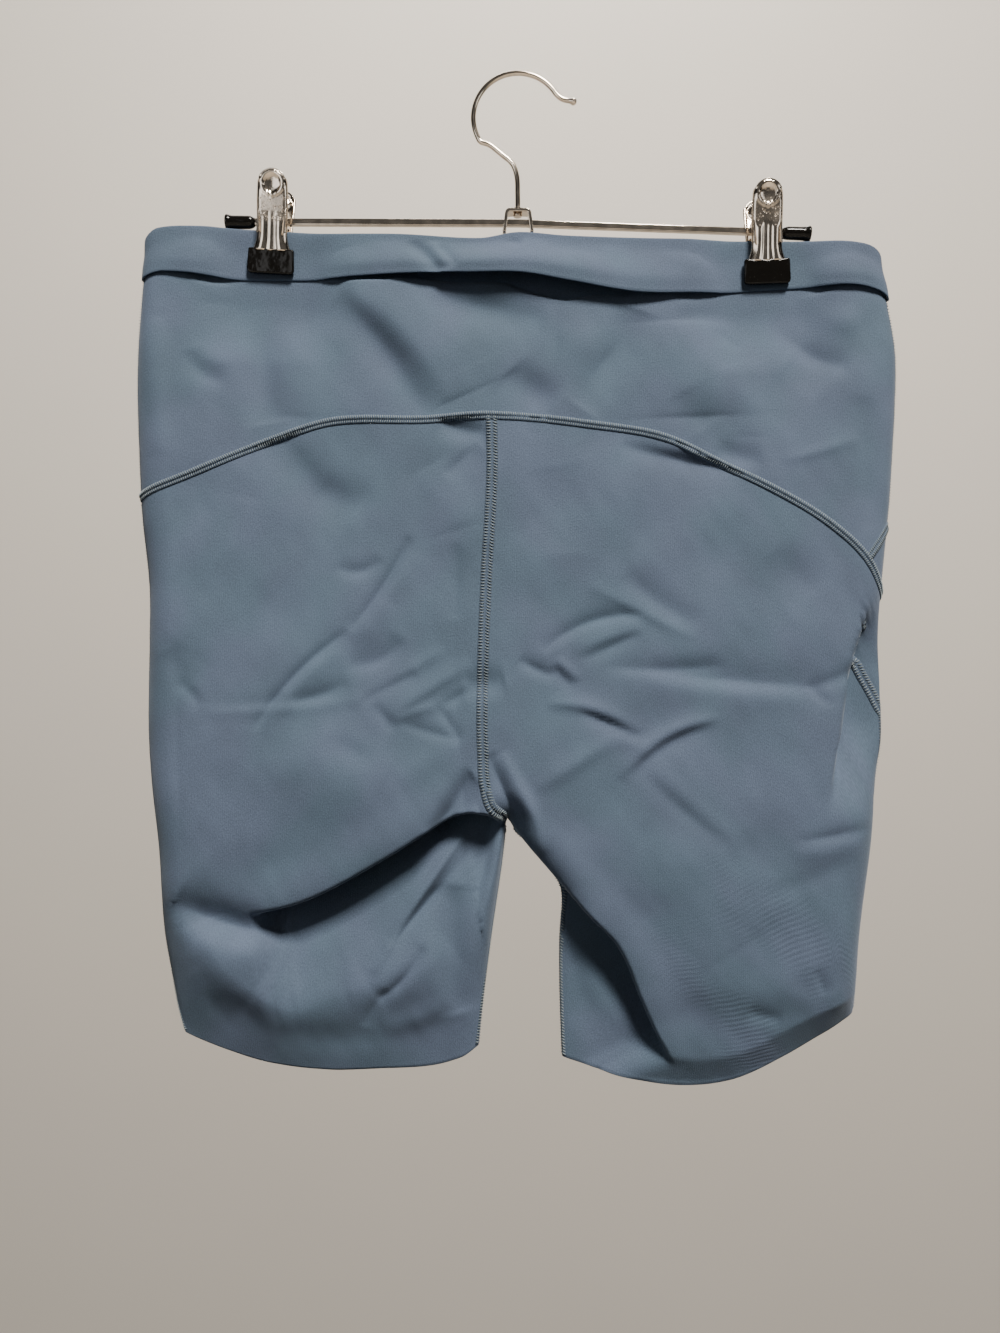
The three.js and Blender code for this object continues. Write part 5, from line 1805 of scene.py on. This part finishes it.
# What each piece was cut to before it was sewn: width and length in metres, and the share of that which is
# cloth.
CUTS = {
    "back_yoke": (0.396, 0.186, 0.80),
    "front_yoke": (0.392, 0.160, 0.90),
    "back_leg_left": (0.186, 0.332, 0.90),
    "back_leg_right": (0.208, 0.344, 0.76),
    "front_leg_left": (0.192, 0.318, 0.88),
    "front_leg_right": (0.202, 0.324, 0.80),
}
GRIPS = [f"clip_{side}_grip_{half}" for side in ("left", "right") for half in ("near", "far")]


class SHORTS_OT_seams(bpy.types.Operator):
    """Sews the seams onto the cloth"""

    bl_idname = "shorts.seams"
    bl_label = "Sew the seams"

    def execute(self, context):
        detail = context.scene.shorts_detail
        tape, thread = seam_finish(tones(context)), thread_finish(tones(context))
        pitch = {"piped_seam": detail.ridge_pitch / MM, "flat_seam": detail.flat_pitch / MM}
        on = {node: [] for node in CUTS}
        for band, threads, node in make_seams(pitch):
            for piece, finish in ((band, tape), (threads, thread)):
                settle(piece, finish, "cloth")
                on[node].append(piece)
        for node, (wide, long, share) in CUTS.items():
            piece = bpy.data.objects[f"{node}_knit"]
            rests = GRIPS if "yoke" in node else [f"{node.split('_')[0]}_yoke_knit"]
            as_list(on[node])
        return {"FINISHED"}


class SHORTS_OT_hook(bpy.types.Operator):
    """Builds the hanger's hook, stirrup, bar and end caps"""

    bl_idname = "shorts.hook"
    bl_label = "Build the hook and bar"

    def execute(self, context):
        steel, rubber = steel_finish(tones(context), "plated_steel"), rubber_finish(tones(context))
        for piece, node in ((make_hook(), "hook"), (make_stirrup(), "strap"), (make_bar(), "bar")):
            settle(piece, steel, "chrome", f"hanger_{node}")
        for side, name in ((-1, "left"), (1, "right")):
            settle(make_cap(side), rubber, "rubber", f"bar_cap_{name}")
        return {"FINISHED"}


# The pieces of a clip: its name, the master that it copies, whether it faces the other way, and its node.
CLIP_PIECES = [
    ("leaf", "leaf", False, "spring"),
    ("plate_near", "near", False, "jaw_near"),
    ("plate_far", "far", True, "jaw_far"),
    ("grip_near", "grip", False, "tip_near"),
    ("grip_far", "grip", True, "tip_far"),
]


class SHORTS_OT_clips(bpy.types.Operator):
    """Builds the two sprung clips with their rubber tips"""

    bl_idname = "shorts.clips"
    bl_label = "Build the clips"

    def execute(self, context):
        worn = steel_finish(tones(context), "worn_steel", pitted=True)
        rubber = bpy.data.materials["dipped_rubber"]
        masters = {half: make_jaw(f"jaw_{half}_master", EARS[half]) for half in EARS}
        masters.update(leaf=make_spring(), grip=make_tip())
        for side, (x, z) in CLIP_AT.items():
            lean = math.radians(CLIP_LEAN[side])
            made = [
                another(masters[master], f"clip_{side}_{name}", (x, 0, z), about_face, lean)
                for name, master, about_face, _ in CLIP_PIECES
            ]
            for piece, (_, master, _, node) in zip(made, CLIP_PIECES):
                finish, slot = (rubber, "rubber") if master == "grip" else (worn, "chrome")
                settle(piece, finish, slot, f"clip_{side}_{node}")
        for master in masters.values():
            bpy.data.objects.remove(master)
        return {"FINISHED"}


# The stage, in metres. Each lamp's size, place and colour; all look at one point.
CAMERA = {"place": (-0.0094, -0.521, -0.3079), "lens": 27, "sensor": 36}
LAMPS = {
    "key": (1.2, (1.2, -3.0, 4.1), (1.0, 0.95, 0.88)),
    "fill": (1.6, (-1.3, -1.3, -0.2), (0.95, 0.97, 1.0)),
    "rear": (0.9, (0.1, 1.35, 1.6), (1.0, 0.97, 0.93)),
}
LAMPS_LOOK_AT = (0, 0, -0.3)
# Lights that only what shines shows: each one's place, size and share of the strength for its area.
CARDS = {
    "left": ((-0.55, -0.75, -0.05), 0.5, 1.0),
    "right": ((0.75, -0.6, 0.1), 0.4, 1.0),
    "front": ((0.1, -1.9, 0.3), 2.2, 0.045),
    "rear": ((-0.3, 1.2, 0.3), 1.6, 0.10),
}
CARDS_LOOK_AT = (0, 0, -0.1)
# The strength of the world that the camera sees, brighter than the light that it gives.
WORLD_SEEN = 0.62


def area_lamp(name, power, size, place, turned, colour=(1.0, 1.0, 1.0)):
    """A square lamp at a place, turned by three angles."""
    lamp = bpy.data.objects.new(name, bpy.data.lights.new(name, "AREA"))
    lamp.data.energy, lamp.data.size, lamp.data.color = power, size, colour
    lamp.location, lamp.rotation_euler = place, turned
    bpy.context.scene.collection.objects.link(lamp)
    return lamp


def aimed(place, target):
    """The turn that makes a lamp at a place look at a target."""
    return (Vector(target) - Vector(place)).to_track_quat("-Z", "Y").to_euler()


def stage_camera(scene):
    camera = bpy.data.objects.new("view_camera", bpy.data.cameras.new("view_camera"))
    camera.data.lens, camera.data.sensor_width = CAMERA["lens"], CAMERA["sensor"]
    camera.location, camera.rotation_euler = CAMERA["place"], (math.pi / 2, 0, 0)
    scene.collection.objects.link(camera)
    scene.camera = camera
    return camera


def stage_planes(looks):
    """The floor, which throws no light back on the object, and the backdrop."""
    plain = Finish("plain_stage", Roughness=0.9, Specular_IOR_Level=0.1)
    grain = plain.noise(plain.place(), 3.0, 2.0)
    tone = looks.backdrop
    plain.set("Base Color", plain.colour(shaded(tone, 0.98), shaded(tone, 1.02), grain))
    bpy.ops.object.select_all(action="DESELECT")
    bpy.ops.mesh.primitive_plane_add(size=14, location=(0, -1.0, -1.95))
    floor = bpy.context.object
    floor.name = "stage_floor"
    floor.visible_diffuse = False
    bpy.ops.mesh.primitive_plane_add(size=12, location=(0, 1.5, 0), rotation=(math.pi / 2, 0, 0))
    wall = bpy.context.object
    wall.name = "stage_backdrop"
    for panel in (floor, wall):
        coat(panel, plain.material)
    return floor, wall


def stage_lamps(looks):
    """The three lamps on the object, the one on the backdrop, and the lights that only what shines shows."""
    lamps = []
    for name, (size, place, colour) in LAMPS.items():
        turned = aimed(place, LAMPS_LOOK_AT)
        lamps.append(area_lamp(f"{name}_lamp", getattr(looks, name), size, place, turned, colour))
    down = (math.radians(62), 0, 0)
    wash = area_lamp("backdrop_lamp", looks.wash, 2.0, (0, 0.5, 1.4), down, (1.0, 0.97, 0.92))
    wash.visible_camera = False
    lamps.append(wash)
    for name, (place, wide, share) in CARDS.items():
        power = looks.card * share * wide * wide
        card = area_lamp(f"{name}_card", power, wide, place, aimed(place, CARDS_LOOK_AT))
        card.visible_diffuse = card.visible_camera = False
        lamps.append(card)
    return lamps


def pale_room(looks):
    """The world: it gives a little light, and the camera sees it brighter."""
    room = bpy.data.worlds.new("pale_room")
    room.use_nodes = True
    nodes = Nodes(room.node_tree)
    ground = room.node_tree.nodes["Background"]
    seen = nodes.node("ShaderNodeLightPath").outputs["Is Camera Ray"]
    strength = nodes.node("ShaderNodeMix", i0=seen, i2=looks.world, i3=WORLD_SEEN).outputs[0]
    nodes.feed(ground.inputs["Color"], (1.0, 0.97, 0.93, 1))
    nodes.feed(ground.inputs["Strength"], strength)
    return room


class SHORTS_OT_stage(bpy.types.Operator):
    """Sets the camera, the lights and a plain pale floor and backdrop"""

    bl_idname = "shorts.stage"
    bl_label = "Set the stage"

    def execute(self, context):
        looks = context.scene.shorts_stage
        camera = stage_camera(context.scene)
        floor, wall = stage_planes(looks)
        lamps = stage_lamps(looks)
        context.scene.world = pale_room(looks)
        return {"FINISHED"}


class SHORTS_PT_panel(bpy.types.Panel):
    """Buttons that build the shorts and their hanger"""

    bl_label = "Running shorts"
    bl_idname = "SHORTS_PT_panel"
    bl_space_type = "VIEW_3D"
    bl_region_type = "UI"
    bl_category = "Shorts"

    def draw(self, context):
        scene = context.scene
        for group, names in (
            (scene.shorts_tones, ("cloth", "thread", "steel", "rubber")),
            (scene.shorts_detail, ("back_columns", "front_columns", "ridge_pitch", "flat_pitch")),
            (scene.shorts_stage, ("key", "fill", "rear", "card", "wash", "world", "backdrop")),
        ):
            for name in names:
                self.layout.prop(group, name)
        for step in STEPS:
            self.layout.operator(step.bl_idname)


SETTINGS = {"shorts_tones": ShortsTones, "shorts_detail": ShortsDetail, "shorts_stage": ShortsStage}
STEPS = (SHORTS_OT_hook, SHORTS_OT_clips, SHORTS_OT_cloth, SHORTS_OT_seams, SHORTS_OT_stage)


def register():
    for made in (*SETTINGS.values(), *STEPS, SHORTS_PT_panel):
        bpy.utils.register_class(made)
    for name, group in SETTINGS.items():
        setattr(bpy.types.Scene, name, bpy.props.PointerProperty(type=group))


def unregister():
    for name in SETTINGS:
        delattr(bpy.types.Scene, name)
    for made in (SHORTS_PT_panel, *reversed(STEPS), *SETTINGS.values()):
        bpy.utils.unregister_class(made)


def main():
    register()
    for name in ("hook", "clips", "cloth", "seams", "stage"):
        getattr(bpy.ops.shorts, name)()


if __name__ == "__main__":
    main()
